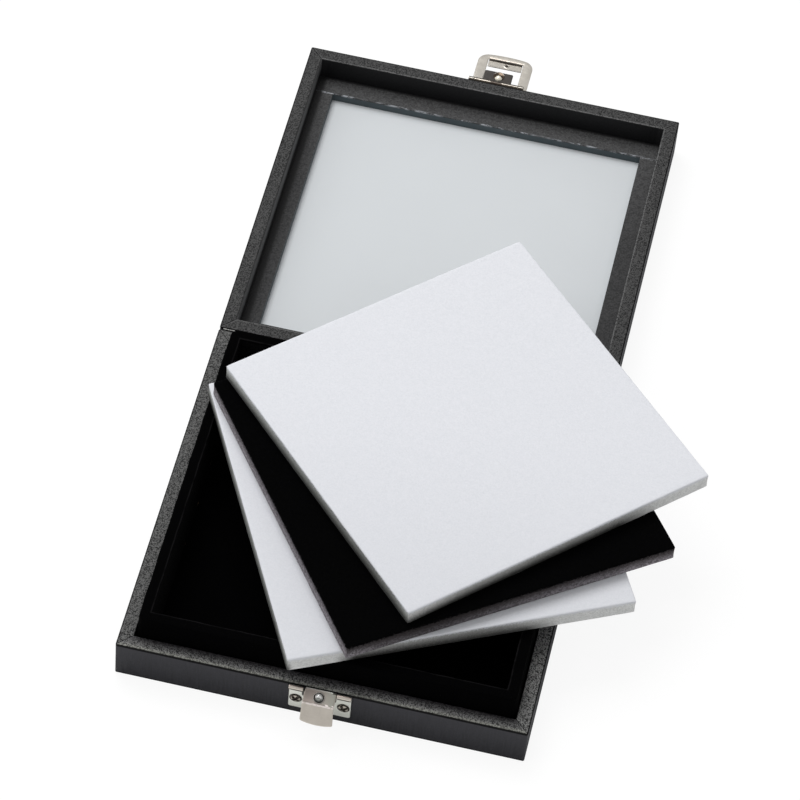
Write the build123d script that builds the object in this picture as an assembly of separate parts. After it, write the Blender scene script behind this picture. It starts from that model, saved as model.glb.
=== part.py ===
from build123d import *
from math import atan, degrees
import os

# Miniature carry case: a shallow covered box with a velvet-lined base, a glazed lid that
# opens flat on a leatherette hinge, a nickel clasp, and three loose square foam pads.
#
# Frame: millimetres, +Z up, +X to the right, +Y from the front of the base to the hinge.
# The origin is the centre of the base's underside. The lid lies open behind the base,
# its outer face down, and the pads lie fanned out on the base's raised collar.

# ---------------------------------------------------------------- driving dimensions

# The two covered halves
CASE_WIDTH = 140.0            # left to right
CASE_DEPTH = 141.5            # front to back, one half
HALF_HEIGHT = 15.7            # outer height of the base, and of the lid
WALL_BOARD = 4.1              # thickness of the wall boards
BOTTOM_BOARD = 1.6            # thickness of the board under the base
TOP_BOARD = 1.0               # thickness of the lid's windowed board
LEATHERETTE = 0.5             # thickness of the covering
COVER_CORNER = 1.2            # radius of the covered upright corners
COVER_EDGE = 0.4              # radius of the covered rim edges
UNDER_HEM = 8.0               # width of the covering turned in under the base

# The raised velvet collar and the floor of the base
COLLAR_RISE = 8.8             # height of the collar over the rim
COLLAR_GAP = 0.35             # glue gap between wall and collar
COLLAR_DRAFT = 0.55           # how far the collar leans in, from the rim to its top
COLLAR_CARD = 2.6             # thickness of the collar cards
VELVET = 0.6                  # thickness of the velvet on the cards
FLOOR_VELVET = 0.8            # thickness of the padded velvet floor
COLLAR_CORNER = 3.0           # radius of the collar's upright corners
COLLAR_EDGE = 0.5             # radius of the collar's top edges
WELL_CORNER = 1.0             # radius of the well's upright corners

# The glazed lid
LEDGE_DEPTH = 9.1             # depth of the ledge below the lid's rim
LEDGE_SIDE = 6.4              # width of the left and right ledge strips
LEDGE_END = 7.7               # width of the front and back ledge strips
GLASS_THICKNESS = 1.7
GLASS_PLAY = 0.3              # play round the glass

# The leatherette hinge strip
HINGE_GAP = 1.0               # space between the two back faces when the lid lies open
HINGE_RISE = 0.1              # height of the turning axis over the rims
STRIP_THICKNESS = 0.4
STRIP_INSET = 1.5             # how far the strip stops short of each side
STRIP_FOOT = 1.5              # height of the strip's lower edges
FOLD_DROP = 0.4               # how far the fold's centre lies below the rims

# The stamped clasp: the plate on the base and the plate on the lid
PLATE_WIDTH = 21.2
PLATE_HEIGHT = 11.2
PLATE_TOP = 1.0               # from the rim plane down to the top of the wings
PLATE_SHEET = 0.65
PLATE_CORNER = 0.9
TONGUE_WIDTH = 10.7
TONGUE_SLIT = 0.4             # slit between the tongue and each wing
TONGUE_ROOT = 0.8             # depth of the slits below the tongue's bend
SCREW_SPREAD = 16.2           # between the two screws of a plate
SCREW_DROP = 7.0              # from the rim plane down to the screws

# Catch tongue on the base: reach is measured out of the face, drop down from the rim
SHELF_START_DROP = 0.6
SHELF_REACH = 5.3
SHELF_DROP = 1.9
LIP_REACH = 9.2
LIP_DROP = 7.7
LIP_BOW = 1.3                 # how much further down the lip's lower edge is in the middle
CATCH_ROLL_RADIUS = 0.85      # outer radius of the rolled tops of the base plate's wings
CATCH_ROLL_BORE = 0.3

# Hasp tongue on the lid: a flat tab that leaves the plate under a rounded fold
HASP_SIDE = 0.8               # how far the hasp sits to the right of the lid's middle
TAB_START_DROP = 1.4
TAB_REACH = 8.0
TAB_DROP = 1.5
TAB_CORNER = 0.6

# Ball studs riveted to the two tongues
BALL_RADIUS = 1.2
BALL_SINK = 0.55              # how far a ball sits into its collar
BALL_COLLAR = 0.25            # height of the collar
BALL_COLLAR_RADIUS = 2.1
BALL_STEM_RADIUS = 0.5
RIVET_TAIL = 0.3              # thickness of the stem's upset tail
RIVET_TAIL_RADIUS = 0.8
CATCH_BALL_REACH = 2.9
CATCH_BALL_SIDE = -0.3
HASP_BALL_REACH = 4.7
HASP_BALL_SIDE = 0.5          # to the right of the tab's middle

# Screws
SCREW_HEAD_RADIUS = 1.9
SCREW_HEAD = 0.7
SCREW_SHANK_RADIUS = 0.9
SCREW_SHANK = 3.2             # length in the wall, past the plate
SCREW_CROSS = 0.45            # width of the cross recess
SCREW_CROSS_DEPTH = 0.35

# Hasp loop and the two short pins it turns on
PIN_RADIUS = 0.55
PIN_CLEARANCE = 0.05          # running clearance between a pin and the loop's ear
PIN_REACH = 1.3               # pin axis out of the lid's face
PIN_DROP = 1.3                # pin axis below the lid's rim plane
KNUCKLE_SHEET = 0.6           # wall of the lid plate's knuckles
KNUCKLE_INNER = 5.8           # from the middle to the near end of a plate knuckle
KNUCKLE_LENGTH = 2.3
KNUCKLE_SIDE_GAP = 0.2        # between a plate knuckle and the loop's ear beside it
LOOP_SHEET = 0.55
LOOP_MARGIN = 0.2             # how far the loop stops short of the plate at each side
LOOP_LENGTH = 16.8            # from the pin axis to the free end
LOOP_BOW = 1.0                # how much further out the free end is in the middle
LOOP_CORNER = 3.6
LOOP_TILT = 4.0               # degrees that the loop hangs below level at rest
LOOP_TURN_GAP = 0.25          # gap between turning and fixed parts round the pins
WINDOW_WIDTH = 12.9
WINDOW_END = 14.4             # from the pin axis to the window's far edge
WINDOW_CORNER = 0.5

# Springy flap that reaches back over the window, and snaps in behind the catch's lip
FLAP_WIDTH = 12.2
FLAP_START = 10.1             # from the pin axis to its free edge
FLAP_SINK = 0.25              # how far it lies below the loop's inner face
FLAP_RIDGE = 0.6              # height of its ridge over the loop's inner face
FLAP_RISE = 0.5               # how far in from the window's edge the ridge stands
FLAP_BEAD = 0.45              # radius of the bead along its ridge
RIVET_HOLE_RADIUS = 0.45
RIVET_HOLE_SIDE = 0.65        # to the right of the loop's middle

# The pads
PAD_SIDE = 119.5
PAD_THICKNESS = 6.0
PAD_CORNER = 0.8
PAD_GAP = 0.1                 # air between the pads, and under the lowest
# where each pad lies: across, back, and its turn in degrees
LOWER_PAD_PLACE = (15.1, 7.5, 26.7)
BLACK_PAD_PLACE = (20.8, 16.0, 35.5)
UPPER_PAD_PLACE = (25.4, 31.8, 44.0)

# ---------------------------------------------------------------- derived dimensions

RIM_WIDTH = WALL_BOARD + 2 * LEATHERETTE
INNER_WIDTH = CASE_WIDTH - 2 * RIM_WIDTH          # between the covered walls
INNER_DEPTH = CASE_DEPTH - 2 * RIM_WIDTH
BOARDS_WIDTH = CASE_WIDTH - 2 * LEATHERETTE       # over the bare boards
BOARDS_DEPTH = CASE_DEPTH - 2 * LEATHERETTE
BOARD_TOP = HALF_HEIGHT - LEATHERETTE             # top edge of the wall boards
BASE_FLOOR = LEATHERETTE + BOTTOM_BOARD           # top of the board under the base
LID_FLOOR = LEATHERETTE + TOP_BOARD               # inner face of the lid's board
GLASS_TOP = LID_FLOOR + GLASS_THICKNESS
LEDGE_TOP = HALF_HEIGHT - LEDGE_DEPTH
OPENING_WIDTH = INNER_WIDTH - 2 * LEDGE_SIDE      # clear view through the lid
OPENING_DEPTH = INNER_DEPTH - 2 * LEDGE_END

COLLAR_TOP = HALF_HEIGHT + COLLAR_RISE
COLLAR_WIDTH = INNER_WIDTH - 2 * COLLAR_GAP       # over the collar at the rim
COLLAR_DEPTH = INNER_DEPTH - 2 * COLLAR_GAP
CARDS_WIDTH = COLLAR_WIDTH - 2 * (COLLAR_DRAFT + VELVET)
CARDS_DEPTH = COLLAR_DEPTH - 2 * (COLLAR_DRAFT + VELVET)
CARDS_INNER_WIDTH = CARDS_WIDTH - 2 * COLLAR_CARD
CARDS_INNER_DEPTH = CARDS_DEPTH - 2 * COLLAR_CARD
WELL_WIDTH = CARDS_INNER_WIDTH - 2 * VELVET
WELL_DEPTH = CARDS_INNER_DEPTH - 2 * VELVET
CARD_CORNER = COLLAR_CORNER - VELVET

LID_BACK = CASE_DEPTH + HINGE_GAP                 # centre of the open lid, behind the origin
HINGE_LINE = CASE_DEPTH / 2 + HINGE_GAP / 2
CATCH_FACE = Pos(0, -CASE_DEPTH / 2, HALF_HEIGHT)
HASP_FACE = Pos(HASP_SIDE, LID_BACK + CASE_DEPTH / 2, HALF_HEIGHT) * Rot(0, 0, 180)

KNUCKLE_RADIUS = PIN_RADIUS + KNUCKLE_SHEET
KNUCKLE_END = KNUCKLE_INNER + KNUCKLE_LENGTH
EAR_START = KNUCKLE_END + KNUCKLE_SIDE_GAP
EAR_BORE = PIN_RADIUS + PIN_CLEARANCE
EAR_RADIUS = EAR_BORE + LOOP_SHEET
TONGUE_SIDE = TONGUE_WIDTH / 2 + TONGUE_SLIT      # from the middle to the wings
LOOP_WIDTH = PLATE_WIDTH - 2 * LOOP_MARGIN


# ---------------------------------------------------------------- shared shapes

def slab(width, depth, low, high, corner=0.0):
    """Upright block centred on the origin, with rounded upright corners if asked."""
    outline = RectangleRounded(width, depth, corner) if corner else Rectangle(width, depth)
    return extrude(Pos(0, 0, low) * outline, high - low)


def mitred_sides(outer, inner, low, high):
    """Four boards mitred from the outer to the inner corners: front, back, left, right."""
    corners = [(-1, -1), (1, -1), (1, 1), (-1, 1)]
    out = [(a * outer[0] / 2, b * outer[1] / 2) for a, b in corners]
    inn = [(a * inner[0] / 2, b * inner[1] / 2) for a, b in corners]
    sides = {}
    for name, i in (("front", 0), ("right", 1), ("back", 2), ("left", 3)):
        j = (i + 1) % 4
        outline = make_face(Polyline(out[i], out[j], inn[j], inn[i], close=True))
        sides[name] = extrude(Pos(0, 0, low) * outline, high - low)
    return sides


def bar_along_x(profile, start, end):
    """Extrude a profile of (reach, drop) points from x = start to x = end."""
    points = [(-reach, -drop) for reach, drop in profile]
    face = make_face(Polyline(*points, close=True))
    return Pos(start, 0, 0) * extrude(Plane.YZ * face, end - start)


def rod_along_x(radius, start, end, reach, drop):
    """Round rod from x = start to x = end, its axis at this reach and drop."""
    return Pos((start + end) / 2, -reach, -drop) * Rot(0, 90, 0) * Cylinder(radius, end - start)


def strip_profile(points, thickness):
    """Outline of a bent strip whose upper side follows the points, in reach and drop."""
    line = [Vector(reach, drop) for reach, drop in points]
    lower = []
    for i, point in enumerate(line):
        before = (point - line[i - 1]).normalized() if i else None
        after = (line[i + 1] - point).normalized() if i < len(line) - 1 else None
        ways = [way for way in (before, after) if way is not None]
        normals = [Vector(-way.Y, way.X) for way in ways]
        mean = (normals[0] + normals[-1]).normalized()
        lower.append(point + mean * (thickness / mean.dot(normals[0])))
    return [(p.X, p.Y) for p in line + lower[::-1]]


# ---------------------------------------------------------------- covered halves

def base_boards():
    """Bottom board and the four mitred walls that stand on it."""
    parts = {"base_bottom_board": slab(BOARDS_WIDTH, BOARDS_DEPTH, LEATHERETTE, BASE_FLOOR)}
    walls = mitred_sides(
        (BOARDS_WIDTH, BOARDS_DEPTH),
        (BOARDS_WIDTH - 2 * WALL_BOARD, BOARDS_DEPTH - 2 * WALL_BOARD),
        BASE_FLOOR, BOARD_TOP)
    for side, board in walls.items():
        parts[f"base_{side}_board"] = board
    parts["base_front_board"] -= CATCH_FACE * screw_holes()
    return parts


def covered_block():
    """Outer shape of either half with its softened edges, before it is hollowed."""
    block = slab(CASE_WIDTH, CASE_DEPTH, 0, HALF_HEIGHT, COVER_CORNER)
    return fillet(block.faces().sort_by(Axis.Z)[-1].edges(), COVER_EDGE)


def wall_ring(low):
    """The room that the four walls take up inside a covering."""
    ring = slab(BOARDS_WIDTH, BOARDS_DEPTH, low, BOARD_TOP)
    hollow = slab(BOARDS_WIDTH - 2 * WALL_BOARD, BOARDS_DEPTH - 2 * WALL_BOARD, low, BOARD_TOP)
    return ring - hollow


def soften_inner_rim(cover):
    """Round the inner edge of the rim, where the covering folds over."""
    at_rim = [e for e in cover.edges().filter_by(GeomType.LINE)
              if abs(e.center().Z - HALF_HEIGHT) < 0.01
              and abs(e.center().X) < INNER_WIDTH / 2 + 0.01
              and abs(e.center().Y) < INNER_DEPTH / 2 + 0.01]
    return fillet(at_rim, COVER_EDGE)


def base_covering():
    """Leatherette round the walls, over the rim and turned in under the bottom board."""
    cover = covered_block()
    cover -= slab(INNER_WIDTH, INNER_DEPTH, BASE_FLOOR, HALF_HEIGHT)
    cover -= wall_ring(BASE_FLOOR)
    cover -= slab(BOARDS_WIDTH, BOARDS_DEPTH, LEATHERETTE, BASE_FLOOR)
    cover -= underlay()
    cover = soften_inner_rim(cover)
    return cover - CATCH_FACE * screw_holes()


def underlay():
    """Paper that closes the underside inside the turned-in hem."""
    return slab(CASE_WIDTH - 2 * UNDER_HEM, CASE_DEPTH - 2 * UNDER_HEM, 0, LEATHERETTE)


def lid_boards():
    """Windowed board, which lies lowest while the lid is open, and the walls on it."""
    board = slab(BOARDS_WIDTH, BOARDS_DEPTH, LEATHERETTE, LID_FLOOR)
    board -= lid_window(LEATHERETTE, LID_FLOOR, LEATHERETTE)
    parts = {"lid_top_board": Pos(0, LID_BACK, 0) * board}
    walls = mitred_sides(
        (BOARDS_WIDTH, BOARDS_DEPTH),
        (BOARDS_WIDTH - 2 * WALL_BOARD, BOARDS_DEPTH - 2 * WALL_BOARD),
        LID_FLOOR, BOARD_TOP)
    # the lid's front wall lies furthest back while the lid is open
    for side, name in (("back", "front"), ("front", "back"), ("left", "left"), ("right", "right")):
        parts[f"lid_{name}_board"] = Pos(0, LID_BACK, 0) * walls[side]
    parts["lid_front_board"] -= HASP_FACE * screw_holes()
    return parts


def lid_window(low, high, margin=0.0):
    """Room of the lid's window between two heights, with a margin all round."""
    return slab(OPENING_WIDTH + 2 * margin, OPENING_DEPTH + 2 * margin, low, high)


def lid_face_sheet():
    """Leatherette on the lid's outer face, turned up round the window's edge."""
    sheet = slab(CASE_WIDTH - 2 * UNDER_HEM, CASE_DEPTH - 2 * UNDER_HEM, 0, LEATHERETTE)
    sheet += lid_window(0, LID_FLOOR, LEATHERETTE)
    return Pos(0, LID_BACK, 0) * (sheet - lid_window(0, LID_FLOOR))


def lid_covering():
    """Leatherette round the lid's walls, over the rim and turned in on the outer face."""
    cover = covered_block()
    cover -= slab(INNER_WIDTH, INNER_DEPTH, LID_FLOOR, HALF_HEIGHT)
    cover -= wall_ring(LID_FLOOR)
    cover -= slab(BOARDS_WIDTH, BOARDS_DEPTH, LEATHERETTE, LID_FLOOR)
    cover -= slab(CASE_WIDTH - 2 * UNDER_HEM, CASE_DEPTH - 2 * UNDER_HEM, 0, LEATHERETTE)
    cover = soften_inner_rim(cover)
    return Pos(0, LID_BACK, 0) * cover - HASP_FACE * screw_holes()


def glazing():
    """Glass on the windowed board, held down by the four ledge strips."""
    glass = slab(INNER_WIDTH - 2 * GLASS_PLAY, INNER_DEPTH - 2 * GLASS_PLAY, LID_FLOOR, GLASS_TOP)
    parts = {"glass_pane": Pos(0, LID_BACK, 0) * glass}
    strips = mitred_sides((INNER_WIDTH, INNER_DEPTH), (OPENING_WIDTH, OPENING_DEPTH),
                          GLASS_TOP, LEDGE_TOP)
    for side, name in (("back", "front"), ("front", "back"), ("left", "left"), ("right", "right")):
        parts[f"ledge_{name}_strip"] = Pos(0, LID_BACK, 0) * strips[side]
    return parts


# ---------------------------------------------------------------- velvet collar and floor

def collar_body(inset, top):
    """Solid outline of the collar, upright to the rim and leaning in above it."""
    width = COLLAR_WIDTH - 2 * inset
    depth = COLLAR_DEPTH - 2 * inset
    corner = COLLAR_CORNER - inset
    lean = 2 * COLLAR_DRAFT
    lower = slab(width, depth, BASE_FLOOR, HALF_HEIGHT, corner)
    upper = loft([Pos(0, 0, HALF_HEIGHT) * RectangleRounded(width, depth, corner),
                  Pos(0, 0, top) * RectangleRounded(width - lean, depth - lean, corner)])
    return lower + upper


def collar_cards():
    """Four mitred cards that stiffen the collar, standing on the bottom board."""
    envelope = slab(CARDS_WIDTH, CARDS_DEPTH, BASE_FLOOR, COLLAR_TOP - VELVET, CARD_CORNER)
    cards = mitred_sides((CARDS_WIDTH, CARDS_DEPTH), (CARDS_INNER_WIDTH, CARDS_INNER_DEPTH),
                         BASE_FLOOR, COLLAR_TOP - VELVET)
    return {f"collar_{side}_card": card & envelope for side, card in cards.items()}


def collar_velvet():
    """Velvet folded over the cards, down both of their faces."""
    velvet = collar_body(0, COLLAR_TOP)
    velvet = fillet(velvet.faces().sort_by(Axis.Z)[-1].edges(), COLLAR_EDGE)
    velvet -= slab(WELL_WIDTH, WELL_DEPTH, BASE_FLOOR, COLLAR_TOP, WELL_CORNER)
    cards = slab(CARDS_WIDTH, CARDS_DEPTH, BASE_FLOOR, COLLAR_TOP - VELVET, CARD_CORNER)
    cards -= slab(CARDS_INNER_WIDTH, CARDS_INNER_DEPTH, BASE_FLOOR, COLLAR_TOP - VELVET)
    return velvet - cards


def floor_velvet():
    """Padded velvet on the bottom board, inside the collar."""
    return slab(WELL_WIDTH, WELL_DEPTH, BASE_FLOOR, BASE_FLOOR + FLOOR_VELVET, WELL_CORNER)


# ---------------------------------------------------------------- hinge strip

def hinge_strip():
    """Folded strip: a leg glued to each back face, joined by a half-round fold on top."""
    radius = HINGE_GAP / 2
    fold_height = HALF_HEIGHT - FOLD_DROP
    outline = Rectangle(HINGE_GAP, fold_height - STRIP_FOOT, align=(Align.CENTER, Align.MAX))
    outline += Circle(radius)
    bore = radius - STRIP_THICKNESS
    outline -= Rectangle(2 * bore, fold_height, align=(Align.CENTER, Align.MAX))
    outline -= Circle(bore)
    length = CASE_WIDTH - 2 * STRIP_INSET
    strip = extrude(Plane.YZ * outline, length / 2, both=True)
    return Pos(0, HINGE_LINE, fold_height) * strip


# ---------------------------------------------------------------- clasp

def screw_places():
    """Where the two screws of a plate enter, on the plate's face frame."""
    return [Pos(side * SCREW_SPREAD / 2, 0, -SCREW_DROP) for side in (-1, 1)]


def screw_holes():
    """Pilot holes through a plate, the covering and into the wall."""
    middle = (SCREW_SHANK - PLATE_SHEET) / 2
    hole = Pos(0, middle, 0) * Rot(90, 0, 0) * \
        Cylinder(SCREW_SHANK_RADIUS, PLATE_SHEET + SCREW_SHANK)
    left, right = screw_places()
    return left * hole + right * hole


def screws():
    """Two cross-recessed screws with low domed heads."""
    dome = (SCREW_HEAD_RADIUS ** 2 + SCREW_HEAD ** 2) / (2 * SCREW_HEAD)
    head = Pos(0, 0, SCREW_HEAD - dome) * Sphere(dome)
    head &= Pos(0, 0, SCREW_HEAD / 2) * Cylinder(SCREW_HEAD_RADIUS, SCREW_HEAD)
    for turn in (35, 125):
        head -= Pos(0, 0, SCREW_HEAD) * Rot(0, 0, turn) * \
            Box(1.2 * SCREW_HEAD_RADIUS, SCREW_CROSS, 2 * SCREW_CROSS_DEPTH)
    depth = PLATE_SHEET + SCREW_SHANK
    screw = head + Pos(0, 0, -depth / 2) * Cylinder(SCREW_SHANK_RADIUS, depth)
    screw = Pos(0, -PLATE_SHEET, 0) * Rot(90, 0, 0) * screw
    left, right = screw_places()
    return left * screw + right * screw


def plate_blank(tongue_drop):
    """Flat back plate, open at the top in the middle, where the tongue is bent out."""
    blank = Rectangle(PLATE_WIDTH, PLATE_HEIGHT)
    blank = fillet(blank.vertices(), PLATE_CORNER)
    plate = extrude(Plane.XZ * blank, PLATE_SHEET)
    plate = Pos(0, 0, -PLATE_TOP - PLATE_HEIGHT / 2) * plate
    plate -= slab(2 * TONGUE_SIDE, 4 * PLATE_SHEET, -tongue_drop - TONGUE_ROOT, 0)
    return plate - screw_holes()


def rolled_edge(plate, start, end, radius, bore, reach, drop):
    """Roll both wings' top edges round a line along X, on either side of the tongue."""
    for near, far in ((start, end), (-end, -start)):
        web = bar_along_x([(0, PLATE_TOP + 2 * PLATE_CORNER),
                           (PLATE_SHEET, PLATE_TOP + 2 * PLATE_CORNER),
                           (PLATE_SHEET, drop), (0, drop)], near, far)
        plate += web + rod_along_x(radius, near, far, reach, drop)
        plate -= rod_along_x(bore, near, far, reach, drop)
    return plate


def bent_tongue(points):
    """Tongue of bent sheet whose upper side follows the points."""
    return bar_along_x(strip_profile(points, PLATE_SHEET), -TONGUE_WIDTH / 2, TONGUE_WIDTH / 2)


def on_tongue(side, reach, start, end):
    """Frame on a tongue's upper side, +Z away from it; start and end are (reach, drop)."""
    slope = (end[1] - start[1]) / (end[0] - start[0])
    drop = start[1] + slope * (reach - start[0])
    return Pos(side, -reach, -drop) * Rot(degrees(atan(slope)), 0, 0)


def ball_stud():
    """Ball on a low collar, with the stem that is riveted through the tongue."""
    ball = Pos(0, 0, BALL_COLLAR + BALL_RADIUS - BALL_SINK) * Sphere(BALL_RADIUS)
    ball &= Pos(0, 0, 2 * BALL_RADIUS) * Box(4 * BALL_RADIUS, 4 * BALL_RADIUS, 4 * BALL_RADIUS)
    collar = Pos(0, 0, BALL_COLLAR / 2) * Cylinder(BALL_COLLAR_RADIUS, BALL_COLLAR)
    stem = Pos(0, 0, -PLATE_SHEET / 2) * Cylinder(BALL_STEM_RADIUS, PLATE_SHEET)
    tail = Pos(0, 0, -PLATE_SHEET - RIVET_TAIL / 2) * Cylinder(RIVET_TAIL_RADIUS, RIVET_TAIL)
    return ball + collar + stem + tail


def stud_hole():
    """Hole for a ball stud's stem."""
    return Pos(0, 0, -PLATE_SHEET / 2) * Cylinder(BALL_STEM_RADIUS, 2 * PLATE_SHEET)


def catch():
    """Base plate with its rolled wings, the stepped tongue and the ball stud."""
    plate = plate_blank(SHELF_START_DROP)
    plate = rolled_edge(plate, TONGUE_SIDE, PLATE_WIDTH / 2, CATCH_ROLL_RADIUS,
                        CATCH_ROLL_BORE, CATCH_ROLL_RADIUS, PLATE_TOP)
    tongue = bent_tongue([(0, SHELF_START_DROP + 2 * TONGUE_ROOT), (0, SHELF_START_DROP),
                          (SHELF_REACH, SHELF_DROP), (LIP_REACH, LIP_DROP)])
    half = TONGUE_WIDTH / 2
    sides = LIP_DROP - LIP_BOW
    outline = Polyline((-half, -sides), (-half, 0), (half, 0), (half, -sides))
    outline += ThreePointArc((-half, -sides), (0, -LIP_DROP - PLATE_SHEET), (half, -sides))
    tongue &= extrude(Plane.XZ * make_face(outline), 2 * LIP_REACH)
    stud = on_tongue(CATCH_BALL_SIDE, CATCH_BALL_REACH, (0, SHELF_START_DROP),
                     (SHELF_REACH, SHELF_DROP))
    return {
        "catch_plate": CATCH_FACE * (plate + tongue - stud * stud_hole()),
        "catch_ball": CATCH_FACE * stud * ball_stud(),
        "catch_screws": CATCH_FACE * screws(),
    }


def hasp():
    """Lid plate with its knuckles, the flat tab, the ball stud and the two pins."""
    plate = plate_blank(TAB_START_DROP)
    notch = PLATE_WIDTH / 2 - KNUCKLE_END
    depth = PIN_DROP + EAR_RADIUS + LOOP_TURN_GAP
    for side in (-1, 1):
        middle = side * (KNUCKLE_END + notch / 2)
        plate -= Pos(middle, 0, 0) * slab(notch, 4 * PLATE_SHEET, -depth, 0)
    plate = rolled_edge(plate, KNUCKLE_INNER, KNUCKLE_END, KNUCKLE_RADIUS, PIN_RADIUS,
                        PIN_REACH, PIN_DROP)
    tab = bent_tongue([(0, TAB_START_DROP + 2 * TONGUE_ROOT), (0, TAB_START_DROP),
                       (TAB_REACH, TAB_DROP)])
    tab &= slab(TONGUE_WIDTH, 2 * TAB_REACH, -PLATE_HEIGHT, 0, TAB_CORNER)
    tab += rod_along_x(KNUCKLE_RADIUS, -TONGUE_WIDTH / 2, TONGUE_WIDTH / 2, PIN_REACH, PIN_DROP)
    stud = on_tongue(-HASP_BALL_SIDE, HASP_BALL_REACH, (0, TAB_START_DROP), (TAB_REACH, TAB_DROP))
    pins = [rod_along_x(PIN_RADIUS, near, far, PIN_REACH, PIN_DROP)
            for near, far in ((KNUCKLE_INNER, LOOP_WIDTH / 2), (-LOOP_WIDTH / 2, -KNUCKLE_INNER))]
    # the plate's frame is turned about Z, so its sides are swapped
    return {
        "hasp_plate": HASP_FACE * (plate + tab - stud * stud_hole()),
        "hasp_ball": HASP_FACE * stud * ball_stud(),
        "hasp_pins": HASP_FACE * (pins[0] + pins[1]),
        "hasp_screws": HASP_FACE * screws(),
    }


def loop_flap():
    """Flap set a little below the leaf, with a bead along it and a rivet hole."""
    root, low = WINDOW_END + LOOP_SHEET, EAR_BORE + FLAP_SINK
    half = FLAP_WIDTH / 2
    flap = bar_along_x([(FLAP_START, low), (root, low), (root, low + LOOP_SHEET),
                        (FLAP_START, low + LOOP_SHEET)], -half, half)
    ridge = WINDOW_END - FLAP_RISE
    flap += rod_along_x(FLAP_BEAD, -half, half, ridge, EAR_BORE - FLAP_RIDGE + FLAP_BEAD)
    middle = (FLAP_START + ridge - FLAP_BEAD) / 2
    hole = Pos(-RIVET_HOLE_SIDE, -middle, -low) * Cylinder(RIVET_HOLE_RADIUS, 4 * LOOP_SHEET)
    return flap - hole


def loop_leaf():
    """Flat outline of the loop: bowed far end, round corners, window, room for the knuckles."""
    half, side = LOOP_WIDTH / 2, LOOP_LENGTH - LOOP_BOW
    outline = Polyline((-half, -side), (-half, 0), (half, 0), (half, -side))
    outline += ThreePointArc((-half, -side), (0, -LOOP_LENGTH), (half, -side))
    leaf = make_face(outline)
    leaf = fillet(leaf.vertices().group_by(Axis.Y)[0], LOOP_CORNER)
    window = Rectangle(WINDOW_WIDTH, WINDOW_END, align=(Align.CENTER, Align.MAX))
    leaf -= fillet(window.vertices().group_by(Axis.Y)[0], WINDOW_CORNER)
    past_knuckles = KNUCKLE_RADIUS + 2 * LOOP_TURN_GAP
    return leaf - Rectangle(2 * EAR_START, past_knuckles, align=(Align.CENTER, Align.MAX))


def hasp_loop():
    """Loop that swings on the pins: two ears, two arms and a flap at the far end."""
    loop = extrude(Pos(0, 0, -EAR_RADIUS) * loop_leaf(), LOOP_SHEET)
    for near, far in ((EAR_START, LOOP_WIDTH / 2), (-LOOP_WIDTH / 2, -EAR_START)):
        loop += rod_along_x(EAR_RADIUS, near, far, 0, 0)
        loop -= rod_along_x(EAR_BORE, near, far, 0, 0)
    loop += loop_flap()
    return HASP_FACE * Pos(0, -PIN_REACH, -PIN_DROP) * Rot(LOOP_TILT, 0, 0) * loop


# ---------------------------------------------------------------- pads

def pads():
    """Three square foam pads, fanned out on the collar one on another."""
    names = ("white_pad_bottom", "black_pad", "white_pad_top")
    places = (LOWER_PAD_PLACE, BLACK_PAD_PLACE, UPPER_PAD_PLACE)
    parts = {}
    low = COLLAR_TOP + PAD_GAP
    for name, (across, back, turn) in zip(names, places):
        pad = slab(PAD_SIDE, PAD_SIDE, low, low + PAD_THICKNESS, PAD_CORNER)
        parts[name] = Pos(across, back, 0) * Rot(0, 0, turn) * pad
        low += PAD_THICKNESS + PAD_GAP
    return parts


# ---------------------------------------------------------------- assembly and export

def build():
    """Every named piece of the case, in its place."""
    parts = {}
    parts["base_underlay"] = underlay()
    parts.update(base_boards())
    parts["base_covering"] = base_covering()
    parts.update(collar_cards())
    parts["collar_velvet"] = collar_velvet()
    parts["floor_velvet"] = floor_velvet()
    parts["hinge_strip"] = hinge_strip()
    parts.update(catch())
    parts.update(lid_boards())
    parts["lid_face_sheet"] = lid_face_sheet()
    parts["lid_covering"] = lid_covering()
    parts.update(glazing())
    parts.update(hasp())
    parts["hasp_loop"] = hasp_loop()
    parts.update(pads())
    return parts


os.makedirs("parts", exist_ok=True)
for name, part in build().items():
    export_step(part, f"parts/{name}.step")
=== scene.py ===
"""Miniature carry case: covered base and glazed lid on a folded hinge, velvet collar and well,
nickel hasp catch, and three loose square foam pads fanned out on the collar."""

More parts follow.
